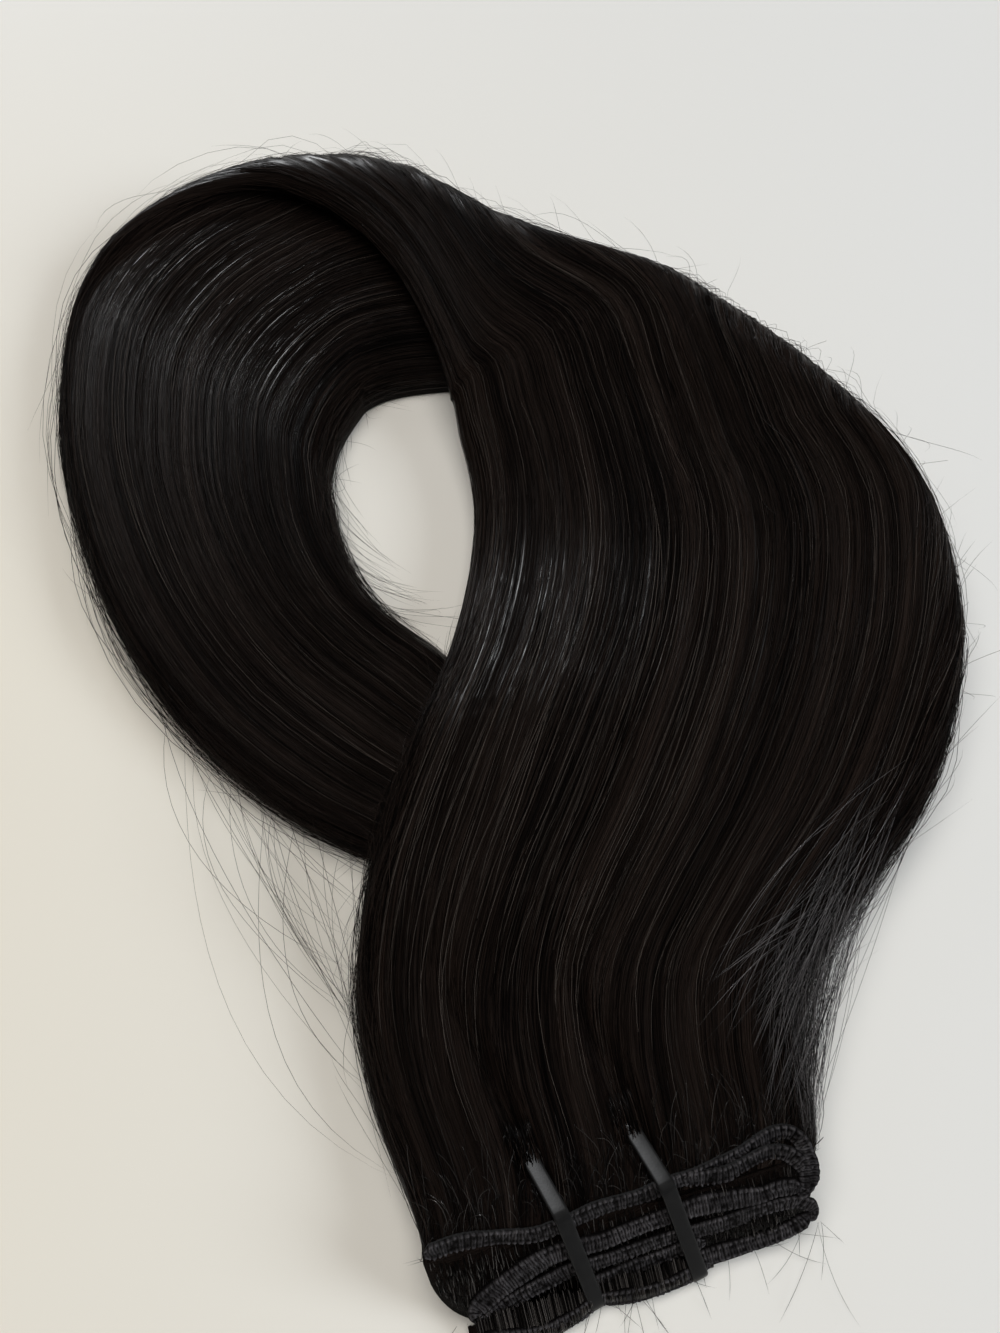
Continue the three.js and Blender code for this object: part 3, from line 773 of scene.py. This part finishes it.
def stray_hairs():
    """Loose hairs round the outline, from short fuzz to long single hairs."""
    long_groups = (
        (40, (0.30, 0.75), (0.36, 0.58), 1.0, (0.03, 0.09), (0.003, 0.016), (0.0, 0.008)),
        (40, (0.75, 1.00), (0.20, 0.48), 1.0, (0.03, 0.09), (0.001, 0.008), (0.002, 0.016)),
        (40, (0.00, 0.40), (0.52, 0.72), 1.0, (0.03, 0.09), (0.002, 0.014), (0.0, 0.010)),
        (34, (0.00, 0.06), (0.70, 0.92), -1.0, (0.04, 0.12), (0.0, 0.003), (0.002, 0.018)),
        (30, (0.95, 1.00), (0.03, 0.22), 1.0, (0.03, 0.10), (0.0, 0.002), (0.002, 0.018)),
        (70, (0.95, 1.00), (0.62, 0.84), -1.0, (0.03, 0.10), (0.0, 0.003), (-0.022, -0.003)),
        (26, (0.00, 0.05), (0.01, 0.20), 1.0, (0.03, 0.09), (0.0, 0.002), (-0.012, 0.0)),
        (34, (0.00, 0.04), (0.18, 0.30), 1.0, (0.02, 0.06), (0.0, 0.001), (-0.016, -0.002)),
        (80, (0.30, 0.75), (0.36, 0.58), 1.0, (0.006, 0.035), (0.002, 0.012), (0.004, 0.018)),
        (80, (0.70, 1.00), (0.18, 0.48), 1.0, (0.006, 0.035), (0.001, 0.008), (0.004, 0.018)),
        (60, (0.00, 0.40), (0.52, 0.72), 1.0, (0.006, 0.035), (0.002, 0.012), (0.004, 0.018)),
        (50, (0.00, 0.06), (0.68, 0.92), -1.0, (0.006, 0.035), (0.0, 0.003), (0.003, 0.013)),
    )
    fuzz_groups = (
        (170, (0.30, 1.00), (0.18, 0.60), 1.0, (0.02, 0.10), (0.0, 0.0035), (0.0, 0.003)),
        (110, (0.00, 0.30), (0.50, 0.72), 1.0, (0.02, 0.10), (0.0, 0.0030), (0.0, 0.003)),
        (130, (0.00, 0.05), (0.66, 0.93), -1.0, (0.02, 0.10), (0.0, 0.0015), (0.0, 0.004)),
        (110, (0.96, 1.00), (0.01, 0.24), 1.0, (0.02, 0.10), (0.0, 0.0010), (0.0, 0.004)),
        (90, (0.96, 1.00), (0.60, 0.84), -1.0, (0.02, 0.10), (0.0, 0.0010), (-0.004, 0.0)),
        (110, (0.00, 0.04), (0.01, 0.30), 1.0, (0.02, 0.08), (0.0, 0.0015), (-0.003, 0.0)),
        (150, (0.02, 0.98), (0.05, 0.45), 1.0, (0.04, 0.16), (0.0003, 0.0022), (0.0, 0.0)),
    )
    return stray_piece("stray_hairs", 61, long_groups + fuzz_groups, "stray")


def edge_veil():
    """Hairs that bow off the outline's edges and come back, thickest in the hollow of the right side."""
    groups = (
        (160, (0.93, 1.00), (0.02, 0.15), 1.0, (0.06, 0.17), (0.0, 0.003), (0.0, 0.0050), True),
        (190, (0.95, 1.00), (0.14, 0.34), 1.0, (0.06, 0.16), (0.0, 0.001), (0.0, 0.0022), True),
        (110, (0.00, 0.06), (0.62, 0.80), -1.0, (0.05, 0.15), (0.0, 0.001), (0.0, 0.0013), True),
        (190, (0.00, 0.06), (0.78, 0.93), -1.0, (0.06, 0.16), (0.0, 0.002), (0.0, 0.0075), True),
        (110, (0.95, 1.00), (0.58, 0.80), -1.0, (0.06, 0.16), (0.0, 0.001), (-0.0028, 0.0), True),
        (150, (0.00, 0.05), (0.02, 0.24), 1.0, (0.06, 0.13), (0.0, 0.001), (-0.0024, 0.0), True),
        (150, (0.30, 1.00), (0.16, 0.56), 1.0, (0.04, 0.12), (0.0002, 0.0018), (0.0, 0.0012), True),
    )
    return stray_piece("edge_veil", 64, groups, "veil")


def surface_hairs():
    """Fine lighter hairs that lie over the combed strands and cross them at a small angle."""
    groups = (
        (330, (0.02, 0.98), (0.03, 0.46), 1.0, (0.06, 0.24), (0.0002, 0.0010), (0.0, 0.0), True),
        (110, (0.02, 0.60), (0.03, 0.34), 1.0, (0.06, 0.20), (0.0002, 0.0012), (0.0, 0.0), True),
        (90, (0.05, 0.95), (0.64, 0.94), -1.0, (0.06, 0.20), (0.0002, 0.0008), (0.0, 0.0), True),
    )
    return stray_piece("surface_hairs", 68, groups, "surface", darkest=0.3)


def bridge_hairs(name, count, seed, first_end, last_end, bow, high, steps=18):
    """Loose hairs across a hollow of the outline: each is a cubic from a point of one edge to a point of
    the other, given as ranges of share and station and a side, and bows away by a share of its length."""
    rng = np.random.default_rng(seed)
    t = np.linspace(0, 1, steps)[:, None]
    ends = []
    for share, along, side in (first_end, last_end):
        ends.append(skin(mix(*along, rng.random(count)), mix(*share, rng.random(count)), side, plain_comb))
    start, end = ends
    chord = end - start
    gap = np.linalg.norm(chord, axis=1)[:, None]
    away = np.cross(unit(chord * [1, 1, 0]), UP) * gap * mix(*bow, rng.random(count) ** 2)[:, None]
    swing = rng.random(count)[:, None]
    first = start + chord * 0.3 + away * mix(0.4, 1.6, swing)
    second = end - chord * 0.3 + away * mix(1.6, 0.4, swing)
    a, b, c, d = (point[:, None] for point in (start, first, second, end))
    lines = a * (1 - t) ** 3 + 3 * b * t * (1 - t) ** 2 + 3 * c * t**2 * (1 - t) + d * t**3
    lines[..., 2] += high * np.sin(np.pi * t[:, 0]) * rng.random(count)[:, None] ** 2
    radius = strand_radius(rng, "bridge", count, steps)
    return add_tubes(name, above_floor(lines), radius, rng.random(count))


def short_hairs(count=430, steps=8):
    """Short broken hairs behind the band: each leaves the skin, rises, leans aside and curls back."""
    rng = np.random.default_rng(62)
    t = np.linspace(0, 1, steps)
    share = rng.random(count)[:, None]
    station = 0.001 + 0.030 * rng.random(count)[:, None] ** 1.6
    length = mix(0.006, 0.024, rng.random(count))[:, None]
    rise = mix(0.0004, 0.0032, rng.random(count) ** 2)[:, None]
    lean = mix(-0.05, 0.05, rng.random(count))[:, None]
    lift = rise * np.sin(2.4 * t) + 0.00005
    lines = skin(station + length * t, between_edges(share + lean * t**2), 1.0, lift=lift)
    radius = strand_radius(rng, "short", count, steps)
    return add_tubes("short_hairs", lines, radius, rng.random(count) ** 2)


def foot_hairs(face, count=46, steps=16):
    """Shed hairs under the stack's foot: each is an arc over the floor, out of the folds."""
    rng = np.random.default_rng(63)
    t = np.linspace(0, 1, steps)[:, None]
    across = mix(0.02, 1.0, rng.random(count))
    length = mix(0.006, 0.030, rng.random(count) ** 1.5) * mix(0.5, 1.0, across)
    heading = mix(-0.9, 1.1, rng.random(count)) + (across > 0.6) * 0.3
    way = np.cos(heading)[:, None] * -face.ahead + np.sin(heading)[:, None] * face.across
    bow = np.cross(UP, way) * (length * mix(-0.35, 0.35, rng.random(count)))[:, None]
    rise = UP * mix(0.0, 0.004, rng.random(count) ** 2)[:, None]
    base = face.at(across, TRACK_STEPS - 0.9, 0.0006)
    lines = (base[:, None] + way[:, None] * length[:, None, None] * t + bow[:, None] * t**2
             + rise[:, None] * np.sin(np.pi * t))
    fallen = np.maximum(lines[..., 2] * (1 - t[:, 0]) ** 2, 0)
    lines[..., 2] = fallen + FLOOR_GAP + rise[:, None, 2] * t[:, 0]
    return add_tubes("foot_hairs", lines, strand_radius(rng, "foot", count, steps), rng.random(count))


# Weft pieces

class StackFace:
    """The sloped end of the folded weft: its top left corner and its directions."""

    def __init__(self):
        size = {name: value[0] for name, value in section_sizes(np.zeros(1)).items()}
        cos, sin = np.cos(size["bearing"]), np.sin(size["bearing"])
        self.ahead = np.array([sin, -cos, 0])
        self.across = -np.array([cos, sin, 0])
        self.top = size["crest"] + STACK_HEIGHT / 2
        self.down = unit(-UP - self.ahead * size["lean"])
        self.out = np.cross(self.down, self.across)
        self.length = STACK_HEIGHT * np.hypot(1, size["lean"])
        self.corner = (np.array([size["x"], size["y"], self.top]) - self.across * STACK_WIDTH
                       + self.ahead * size["lean"] * STACK_HEIGHT / 2 + PLACE)

    def at(self, across, down, out):
        """A point by its share across, its steps down the slope, or back on top of the hair where they are
        negative, and its height off the surface."""
        across, down, out = (np.asarray(value, float)[..., None] for value in (across, down, out))
        step = self.length / TRACK_STEPS
        back = smooth_step(down, 0.35, -0.35)
        return (self.corner + self.across * across * STACK_WIDTH + self.down * np.maximum(down, 0) * step
                - self.ahead * np.minimum(down, 0) * step + mix(self.out, UP, back * 0.5) * out)


# Points on a route's curve for each of its marks, and on the half circle of a fold.
CURVE_POINTS = 40
TURN_POINTS = 16


def through(points, count):
    """A Catmull-Rom curve through the points, as count points at even parameters."""
    points = np.asarray(points, float)
    padded = np.concatenate([2 * points[:1] - points[1:2], points, 2 * points[-1:] - points[-2:-1]])
    place = np.linspace(0, len(points) - 1, count)
    i = np.minimum(place.astype(int), len(points) - 2)
    t = (place - i)[:, None]
    a, b, c, d = padded[i], padded[i + 1], padded[i + 2], padded[i + 3]
    return b + 0.5 * t * (c - a + t * (2 * a - 5 * b + 4 * c - d + t * (3 * (b - c) + d - a)))


def evenly(path, step):
    """The same path with points a step apart, and how far along it each is."""
    run = np.concatenate([[0], np.cumsum(np.linalg.norm(np.diff(path, axis=0), axis=1))])
    spots = np.linspace(0, run[-1], int(run[-1] / step) + 1)
    return np.stack([np.interp(spots, run, path[:, axis]) for axis in range(3)], -1), spots


def band_path(face, routes, lift):
    """A band's run over the sloped end: each route a curve, joined by half circles at the folds."""
    curves = []
    for route in routes:
        across, down = zip(*route)
        curves.append(through(face.at(across, down, lift), CURVE_POINTS * len(route)))
    path = [curves[0]]
    for curve, following in zip(curves, curves[1:]):
        centre = (curve[-1] + following[0]) / 2
        arm = curve[-1] - centre
        bulge = unit(curve[-1] - curve[-2]) * np.linalg.norm(arm)
        turn = np.linspace(0, np.pi, TURN_POINTS)[1:-1, None]
        path += [centre + arm * np.cos(turn) + bulge * np.sin(turn), following]
    return np.concatenate(path)


# The sewn band in metres: its width, the step between its rings, the length over which its ends narrow, a
# chain stitch's length and height, and the length of a bar of thread across it.
BAND_WIDTH = 0.0047
BAND_STEP = 0.00021
BAND_END = 0.0022
STITCH = 0.00140
STITCH_HEIGHT = 0.00062
BAR = 0.00074

# Points round the band's section, rings over which its bend is averaged, half its thickness as a share of
# TRACK_THICKNESS, and the spread of a row of stitches as a share of half its width.
BAND_SIDES = 30
BEND_WINDOW = 21
BAND_BELLY = 0.36
STITCH_SPREAD = 0.15

# Where each row of stitches lies, from -1 at one edge of the band to 1 at the other, and its weight.
STITCH_ROWS = ((-0.74, 1.0), (0.74, 1.0), (0.05, 0.45))


def stitches(run, spread):
    """The band's relief, from 0 to about 1: a row of chain stitches near both edges, uneven bars across,
    and a seam between. Each stitch is a power of a sine along the run and a bell across."""
    shaky = run + 0.0007 * (noise(run * 260, spread * 1.3, 15) - 0.5)
    rows = 0
    for place, weight in STITCH_ROWS:
        bell = np.exp(-((spread - place) / STITCH_SPREAD) ** 2)
        rows = rows + weight * np.abs(np.sin(np.pi * shaky / STITCH)) ** 1.5 * bell
    bars = np.abs(np.sin(np.pi * shaky / BAR)) * noise(run * 1300, spread * 1.6, 8)
    bars = bars * (1 - 0.5 * np.abs(spread) ** 3)
    return rows * (0.4 + 1.0 * noise(run * 700, spread * 3, 16)) + 0.95 * bars


def band(name, path, face, tilt=0.16):
    """A sewn band along a path on the sloped end: a flat oval section whose upper side has the stitches.
    It narrows where it bends, so that its inner edge never folds over itself."""
    path, run = evenly(path, BAND_STEP)
    along = unit(np.gradient(path, axis=0))
    side = unit(np.cross(along, face.out))
    curving = np.linalg.norm(np.gradient(along, axis=0), axis=1) / BAND_STEP
    bend = np.convolve(curving, np.ones(BEND_WINDOW) / BEND_WINDOW, "same")
    ends = 0.45 + 0.55 * smooth_step(run, 0, BAND_END) * smooth_step(run[-1] - run, 0, BAND_END)
    half = BAND_WIDTH / 2 * (1 + 0.30 * (noise(run * 130, 0, 9) - 0.5)) * ends
    half = (half / np.sqrt(1 + (bend * half) ** 2))[:, None]
    turn = 2 * np.pi * np.arange(BAND_SIDES) / BAND_SIDES
    spread, height = np.cos(turn), np.sin(turn)
    flat = np.sign(height) * np.abs(height) ** 0.45
    relief = stitches(run[:, None], spread) * np.clip(height, 0, 1) ** 0.35
    ragged = 1 + 0.10 * (noise(run[:, None] * 1900, np.sign(spread) * 5, 17) - 0.5) * np.abs(spread) ** 6
    lift = (flat * TRACK_THICKNESS * BAND_BELLY + STITCH_HEIGHT * relief) * ends[:, None]
    lift = lift - tilt * spread * half
    points = path[:, None] + side[:, None] * (spread * half * ragged)[..., None] + face.out * lift[..., None]
    return add_rings(name, above_floor(points), relief, run[:, None] / STITCH)


def curtain_strands(face, count=1300, steps=9):
    """Hair that hangs from pass to pass over the sloped end, in waves that stand off it."""
    rng = np.random.default_rng(71)
    t = np.linspace(0, 1, steps)
    across = mix(0.02, 0.98, (np.arange(count) + rng.random(count))[:, None] / count)
    start = mix(0.1, 3.8, rng.random(count))[:, None]
    down = (start + mix(0.7, 1.5, rng.random(count))[:, None] * t) * edge_share(across) * 0.96
    loose = np.exp(-((across - 0.86) / 0.06) ** 2 - ((down - 3.2) / 0.9) ** 2)
    wave = 0.0014 * noise(across * 14, down * 0.9, 12) + 0.0016 * loose
    stand = 0.0002 + wave * np.sin(np.pi * np.clip(t, 0.02, 1))
    lines = face.at(across + 0.012 * (noise(across * 300, down, 13) - 0.5), down, stand)
    radius = strand_radius(rng, "folded", count, steps)
    return add_tubes("curtain_strands", lines, radius, rng.random(count) ** 2)


def tip_hairs(face, count=90, steps=9):
    """Hairs that lie over each strap's far end, where it goes down into the bundle: low arches along the
    hair's run, which start and end under its surface."""
    rng = np.random.default_rng(73)
    t = np.linspace(0, 1, steps)
    far = TIE_REACH * np.cos(TIE_SKEW) * TRACK_STEPS / face.length
    lines = []
    for tie in TIES.values():
        tip = tie - TIE_REACH * np.sin(TIE_SKEW) / STACK_WIDTH
        root = mix(-0.040, 0.022, rng.random(count))[:, None]
        lean = mix(-0.01, 0.01, rng.random(count))[:, None]
        start = -far - mix(0.5, 2.4, rng.random(count))[:, None]
        end = -far + mix(0.1, 1.3, rng.random(count) ** 1.5)[:, None]
        arch = np.sin(np.pi * t) ** 0.6
        height = -0.0024 + mix(0.0026, 0.0038, rng.random(count))[:, None] * arch
        lines.append(face.at(tip + root + lean * t, mix(start, end, t), height))
    lines = np.concatenate(lines)
    radius = strand_radius(rng, "tip", len(lines), steps)
    return add_tubes("tip_hairs", lines, radius, rng.random(len(lines)) ** 1.5)


# The lowest fold: how far it reaches back under the stack, half its height, where it starts and ends as
# shares of STACK_WIDTH, and its rings and sides.
FOLD_BACK = 0.0020
FOLD_HEIGHT = 0.0022
FOLD_SPAN = (0.07, 0.70)
FOLD_RINGS = 260
FOLD_SIDES = 24

# Its swells, each with its start and end as shares of STACK_WIDTH and how far it stands out in metres, and
# how far the fold stands out without them.
FOLD_SWELLS = ((0.08, 0.395, 0.0052), (0.395, 0.66, 0.0026))
FOLD_LEAST = 0.0006

# The band along the lowest fold: where it starts, has climbed and ends, as shares of STACK_WIDTH, and its
# turn from straight ahead in degrees, before and after the climb.
LOWER_START = 0.072
LOWER_CLIMBED = 0.12
LOWER_END = 0.69
LOWER_TURNS = (-20, 62)


def fold_reach(across):
    """How far the lowest fold stands out in front of the slope's foot: swells pinched by the straps, each
    a power of a sine across."""
    reach = FOLD_LEAST
    for start, end, depth in FOLD_SWELLS:
        reach = reach + depth * np.sin(np.pi * np.clip((across - start) / (end - start), 0, 1)) ** 0.7
    return reach


def fold_point(face, across, turn, relief=0.0):
    """A point of the fold's oval section, by its share across and its turn from straight ahead."""
    across, turn = np.broadcast_arrays(np.asarray(across, float), turn)
    reach = fold_reach(across)
    ahead = (reach - FOLD_BACK) / 2 + ((reach + FOLD_BACK) / 2 + relief) * np.cos(turn)
    height = FOLD_HEIGHT + (FOLD_HEIGHT - 0.0002 + relief * 0.5) * np.sin(turn)
    foot = face.at(across, TRACK_STEPS, 0) * [1, 1, 0]
    return foot - face.ahead * ahead[..., None] + UP * height[..., None]


def fold_strands(face, count=420, steps=9):
    """Hair between the lowest pass and the lowest fold: each strand drops from the sloped end onto the
    fold's crest and over it, and stands up in waves."""
    rng = np.random.default_rng(72)
    t = np.linspace(0, 1, steps)
    across = mix(0.09, 0.67, (np.arange(count) + rng.random(count))[:, None] / count)
    start = face.at(across, mix(3.7, 4.3, rng.random(count))[:, None], 0.0016)
    crest = fold_point(face, across, mix(np.radians(115), np.radians(25), t), 0.0003)
    stand = (0.0003 + 0.0016 * noise(across * 60, t * 1.5, 18) * np.sin(np.pi * t))[..., None] * UP
    lines = mix(start, crest, smooth_step(t, 0.0, 0.6)[:, None]) + stand
    radius = strand_radius(rng, "folded", count, steps)
    return add_tubes("fold_strands", lines, radius, rng.random(count) ** 1.3)


def lower_fold(face):
    """The weft's lowest fold, which swells out under the stack: an oval tube with fine upright ridges."""
    across = np.linspace(*FOLD_SPAN, FOLD_RINGS)[:, None]
    turn = 2 * np.pi * np.arange(FOLD_SIDES) / FOLD_SIDES
    relief = 0.00035 * (ridges(across * 95, np.sin(turn) * 0.7, 14) - 1)
    return add_rings("lower_fold", fold_point(face, across, turn, relief), across, turn / 90)


def lower_band(face):
    """The band along the lowest fold: it starts low at its left end and then lies over the crest."""
    across = np.linspace(LOWER_START, LOWER_END, 90)
    turn = np.radians(mix(*LOWER_TURNS, smooth_step(across, LOWER_START, LOWER_CLIMBED)))
    return band("lower_band", fold_point(face, across, turn), face)


# Straps

# How far a strap's top stands over the band and sinks at its far end, then its points in the section, on
# each corner's arc and on each straight leg.
STRAP_RISE = 0.0022
STRAP_SINK = 0.0013
STRAP_SIDES = 20
CORNER_POINTS = 9
LEG_POINTS = 12


def strap(name, face, across):
    """A flat strap round the stack: a rounded section carried round a hoop of four corner arcs and the
    straight legs between them. The hoop is worked out in the strap's own upright plane, as its place
    ahead and its height, and the section's sides are powers of a cosine and a sine."""
    forward = -face.ahead * np.cos(TIE_SKEW) + face.across * np.sin(TIE_SKEW)
    sideways = np.cross(forward, UP)
    steep = forward @ face.out
    tilt = np.hypot(steep, face.out[2])
    offset = (TRACK_THICKNESS + 2 * CLEARANCE - TIE_CORNER) / tilt

    def front(height):
        """How far ahead the sloped end's outside is at this height."""
        return (offset * tilt + (face.top - height) * face.out[2]) / steep

    crown = face.top + (TRACK_THICKNESS + 3 * CLEARANCE) * face.out[2] - TIE_CORNER + STRAP_RISE
    foot = TIE_THICKNESS + TIE_CORNER
    far_top = face.top - CLEARANCE - TIE_CORNER - STRAP_SINK
    corners = np.array([[-TIE_REACH, foot], [-TIE_REACH, far_top],
                        [front(crown), crown], [front(foot), foot]])
    arm = TIE_CORNER + TIE_THICKNESS / 2
    path, normal = [], []
    for before, corner, after in zip(np.roll(corners, 1, 0), corners, np.roll(corners, -1, 0)):
        start = np.arctan2(corner[0] - before[0], before[1] - corner[1])
        end = np.arctan2(after[0] - corner[0], corner[1] - after[1])
        turn = np.linspace(start, end - 2 * np.pi * (end > start), CORNER_POINTS)
        spoke = np.stack([np.cos(turn), np.sin(turn)], -1)
        arc = corner + arm * spoke
        reach = np.linspace(0, 1, LEG_POINTS + 2)[1:-1, None]
        path += [arc, arc[-1] + (after + arm * spoke[-1] - arc[-1]) * reach]
        normal += [spoke, np.broadcast_to(spoke[-1], (LEG_POINTS, 2))]
    path, normal = np.concatenate(path), np.concatenate(normal)
    turn = 2 * np.pi * np.arange(STRAP_SIDES) / STRAP_SIDES
    wide = np.sign(np.cos(turn)) * np.abs(np.cos(turn)) ** 0.35 * TIE_WIDTH / 2
    deep = np.sign(np.sin(turn)) * np.abs(np.sin(turn)) ** 0.55 * TIE_THICKNESS / 2
    origin = (face.corner + face.across * across * STACK_WIDTH) * [1, 1, 0]
    flat = path[:, None] + normal[:, None] * deep[:, None]
    points = origin + forward * flat[..., :1] + UP * flat[..., 1:] + sideways * wide[:, None]
    count = len(path)
    ring, spot = np.meshgrid(np.arange(count), np.arange(STRAP_SIDES), indexing="ij")
    here, ahead = ring * STRAP_SIDES, (ring + 1) % count * STRAP_SIDES
    beside = (spot + 1) % STRAP_SIDES
    quads = np.stack([here + spot, here + beside, ahead + beside, ahead + spot], -1)
    return add_mesh(name, points.reshape(-1, 3), [quads.reshape(-1, 4)])


# The pieces in their finishes

face = StackFace()
hair_finish = bundle_hair()
strand_finish = loose_hair("loose_hair", HAIR_BROWN, STRAND_GLOSS, shine=0.11, coat_roughness=0.28)
# The loop's hair takes the darker light end, which is painted shade.
loop_finish = loose_hair("loop_hair", LOOP_SHADED_BROWN, LOOP_GLOSS, shine=0.55, coat_roughness=0.24, roughness=0.24)
surface_finish = loose_hair("surface_hair", SURFACE_BROWN, STRAND_GLOSS, shine=0.17)
dry_finish = loose_hair("dry_hair", DRY_GREY, DRY_GLOSS, shine=0.85)
# The side hairs take the pale grey, a painted sheen.
side_sheen_finish = loose_hair("side_hair", SIDE_SHEEN_GREY, DRY_GLOSS, shine=0.85)
thread_finish = sewing_thread()
strap_finish = moulded_strap()

dress(hair_bundle(), hair_finish, "hair", "hair")
for index in range(3):
    dress(add_tubes(f"upper_strands_{index + 1}", *upper_strands(400, 20 + index)), strand_finish, "hair")
dress(add_tubes("loop_strands", *loop_strands(660, 31)), loop_finish, "hair")
dress(stray_hairs(), strand_finish, "hair")
dress(edge_veil(), strand_finish, "hair")
dress(surface_hairs(), surface_finish, "hair")

# The hollows that loose hair crosses, each as its two ends: ranges of share and station, and a side.
left_hollow = ((0.00, 0.06), (0.865, 0.955), -1.0), ((0.00, 0.05), (0.03, 0.15), 1.0)
right_hollow = ((0.94, 1.00), (0.085, 0.175), 1.0), ((0.97, 1.00), (0.008, 0.06), 1.0)
right_edge = ((0.88, 1.00), (0.12, 0.22), 1.0), ((0.85, 0.99), (0.02, 0.09), 1.0)
right_side = ((0.86, 1.00), (0.13, 0.24), 1.0), ((0.72, 0.92), (0.05, 0.12), 1.0)
left_web = bridge_hairs("left_web", 44, 65, *left_hollow, bow=(0.00, 0.24), high=0.004)
right_web = bridge_hairs("right_web", 220, 66, *right_hollow, bow=(0.07, -0.05), high=0.002)
side_hairs = bridge_hairs("side_hairs", 170, 69, *right_edge, bow=(0.03, -0.05), high=0.003)
crossing_hairs = bridge_hairs("crossing_hairs", 70, 67, *right_side, bow=(0.10, -0.10), high=0.007)
dress(left_web, strand_finish, "hair")
# The hairs over the right hollow and side are given the painted sheen grey.
dress(right_web, side_sheen_finish, "hair")
dress(side_hairs, side_sheen_finish, "hair")
dress(crossing_hairs, side_sheen_finish, "hair")
dress(short_hairs(), dry_finish, "hair")
dress(foot_hairs(face), strand_finish, "hair")
dress(curtain_strands(face), dry_finish, "hair")

# The tucked and the middle band lie a little lower than the folded one.
band_lift = CLEARANCE + TRACK_THICKNESS / 2
folded_path = band_path(face, FOLDED_ROUTES, band_lift)
tucked_path = band_path(face, [TUCKED_ROUTE], band_lift - 0.0004)
middle_path = band_path(face, [MIDDLE_ROUTE], band_lift - 0.0003)
dress(band("sewn_band", folded_path, face), thread_finish, "thread", "weft_track")
dress(band("tucked_band", tucked_path, face), thread_finish, "thread")
dress(band("middle_band", middle_path, face), thread_finish, "thread")
dress(lower_fold(face), hair_finish, "hair")
dress(fold_strands(face), dry_finish, "hair")
dress(lower_band(face), thread_finish, "thread")
dress(tip_hairs(face), strand_finish, "hair")
for tie in TIES:
    dress(strap(tie + "_strap", face, TIES[tie]), strap_finish, "strap", tie)


# Floor, light and camera

# Half the floor's width in metres, its tones, and where its tone is fully cool and fully warm, from right to
# left and from the far side to the middle. The warm tone is painted warm shade.
FLOOR_HALF = 1.6
FLOOR_LIT_COOL = (0.770, 0.775, 0.787, 1)
FLOOR_WARM_SHADE = (0.795, 0.755, 0.680, 1)
WARM_SHADE_LEFT = (0.16, -0.16)
WARM_SHADE_NEAR = (0.40, 0.0)


def floor():
    """A plain pale floor, far larger than the view, with painted warm shade towards the left and the near
    side.
    """
    corners = np.array([[-1, -1, 0], [1, -1, 0], [1, 1, 0], [-1, 1, 0]]) * FLOOR_HALF
    plane = add_mesh("floor", corners, [np.array([[0, 1, 2, 3]])], smooth=False)
    shader = Shader("pale_floor")
    x, y = shader.axes(shader.place())
    # Painted warm shade: the floor's tone warms towards the left and the near side.
    warm_shade_share = x.between(*WARM_SHADE_LEFT) * y.between(*WARM_SHADE_NEAR)
    plane.data.materials.append(shader.finish(
        Base_Color=shader.blend(warm_shade_share, FLOOR_LIT_COOL, FLOOR_WARM_SHADE), Roughness=0.6, Specular_IOR_Level=0.1))


def area_light(name, place, size, power, colour, lights=True, mirrored=True):
    """A round light that faces the piece. It may light surfaces, be mirrored in their gloss, or both."""
    light = bpy.data.lights.new(name, "AREA")
    light.shape = "DISK"
    light.size = size
    light.energy = power
    light.color = colour
    holder = bpy.data.objects.new(name, light)
    holder.visible_diffuse = lights
    holder.visible_glossy = mirrored
    holder.location = place
    x, y, z = place
    holder.rotation_euler = (np.arctan2(np.hypot(x, y), z), 0, np.arctan2(-x, y) + np.pi)
    bpy.context.scene.collection.objects.link(holder)


CLEAR_DAY = (0.96, 0.98, 1.0)
COOL_DAY = (0.90, 0.965, 1.0)
WARM_ROOM = (1.0, 0.965, 0.90)
AMBIENT = 0.07
AMBIENT_COLOUR = (1.0, 0.97, 0.90, 1)


def studio():
    """Daylight from a small far window that only shows as the hair's sheen, and soft light on surfaces
    from the right and from above."""
    area_light("back_window", (-2.30, 4.85, 2.70), size=1.00, power=440, colour=CLEAR_DAY, lights=False)
    area_light("right_window", (5.20, -0.80, 3.00), size=3.20, power=215, colour=COOL_DAY, mirrored=False)
    area_light("ceiling", (-0.60, 0.20, 5.00), size=5.00, power=200, colour=WARM_ROOM, mirrored=False)
    world = bpy.data.worlds.new("studio")
    world.use_nodes = True
    background = world.node_tree.nodes["Background"]
    background.inputs["Color"].default_value = AMBIENT_COLOUR
    background.inputs["Strength"].default_value = AMBIENT
    bpy.context.scene.world = world
    bpy.context.scene.view_settings.view_transform = "Standard"


# The photograph's view. The focal length is in pixels of a picture this high.
PHOTO_HEIGHT = 1333
FOCAL_PIXELS = 1610
SENSOR_WIDTH = 36
VIEW_ELEVATION = np.radians(62)
VIEW_DISTANCE = 0.462


def camera():
    """A camera that looks at the part's middle on the floor, from the photograph's side and height."""
    lens = bpy.data.cameras.new("camera")
    lens.sensor_width = SENSOR_WIDTH
    lens.lens = SENSOR_WIDTH * FOCAL_PIXELS / PHOTO_HEIGHT
    holder = bpy.data.objects.new("camera", lens)
    back = np.array([0, -np.cos(VIEW_ELEVATION), np.sin(VIEW_ELEVATION)])
    holder.location = PLACE + VIEW_DISTANCE * back
    holder.rotation_euler = (np.pi / 2 - VIEW_ELEVATION, 0, 0)
    bpy.context.scene.collection.objects.link(holder)
    bpy.context.scene.camera = holder


floor()
camera()
studio()
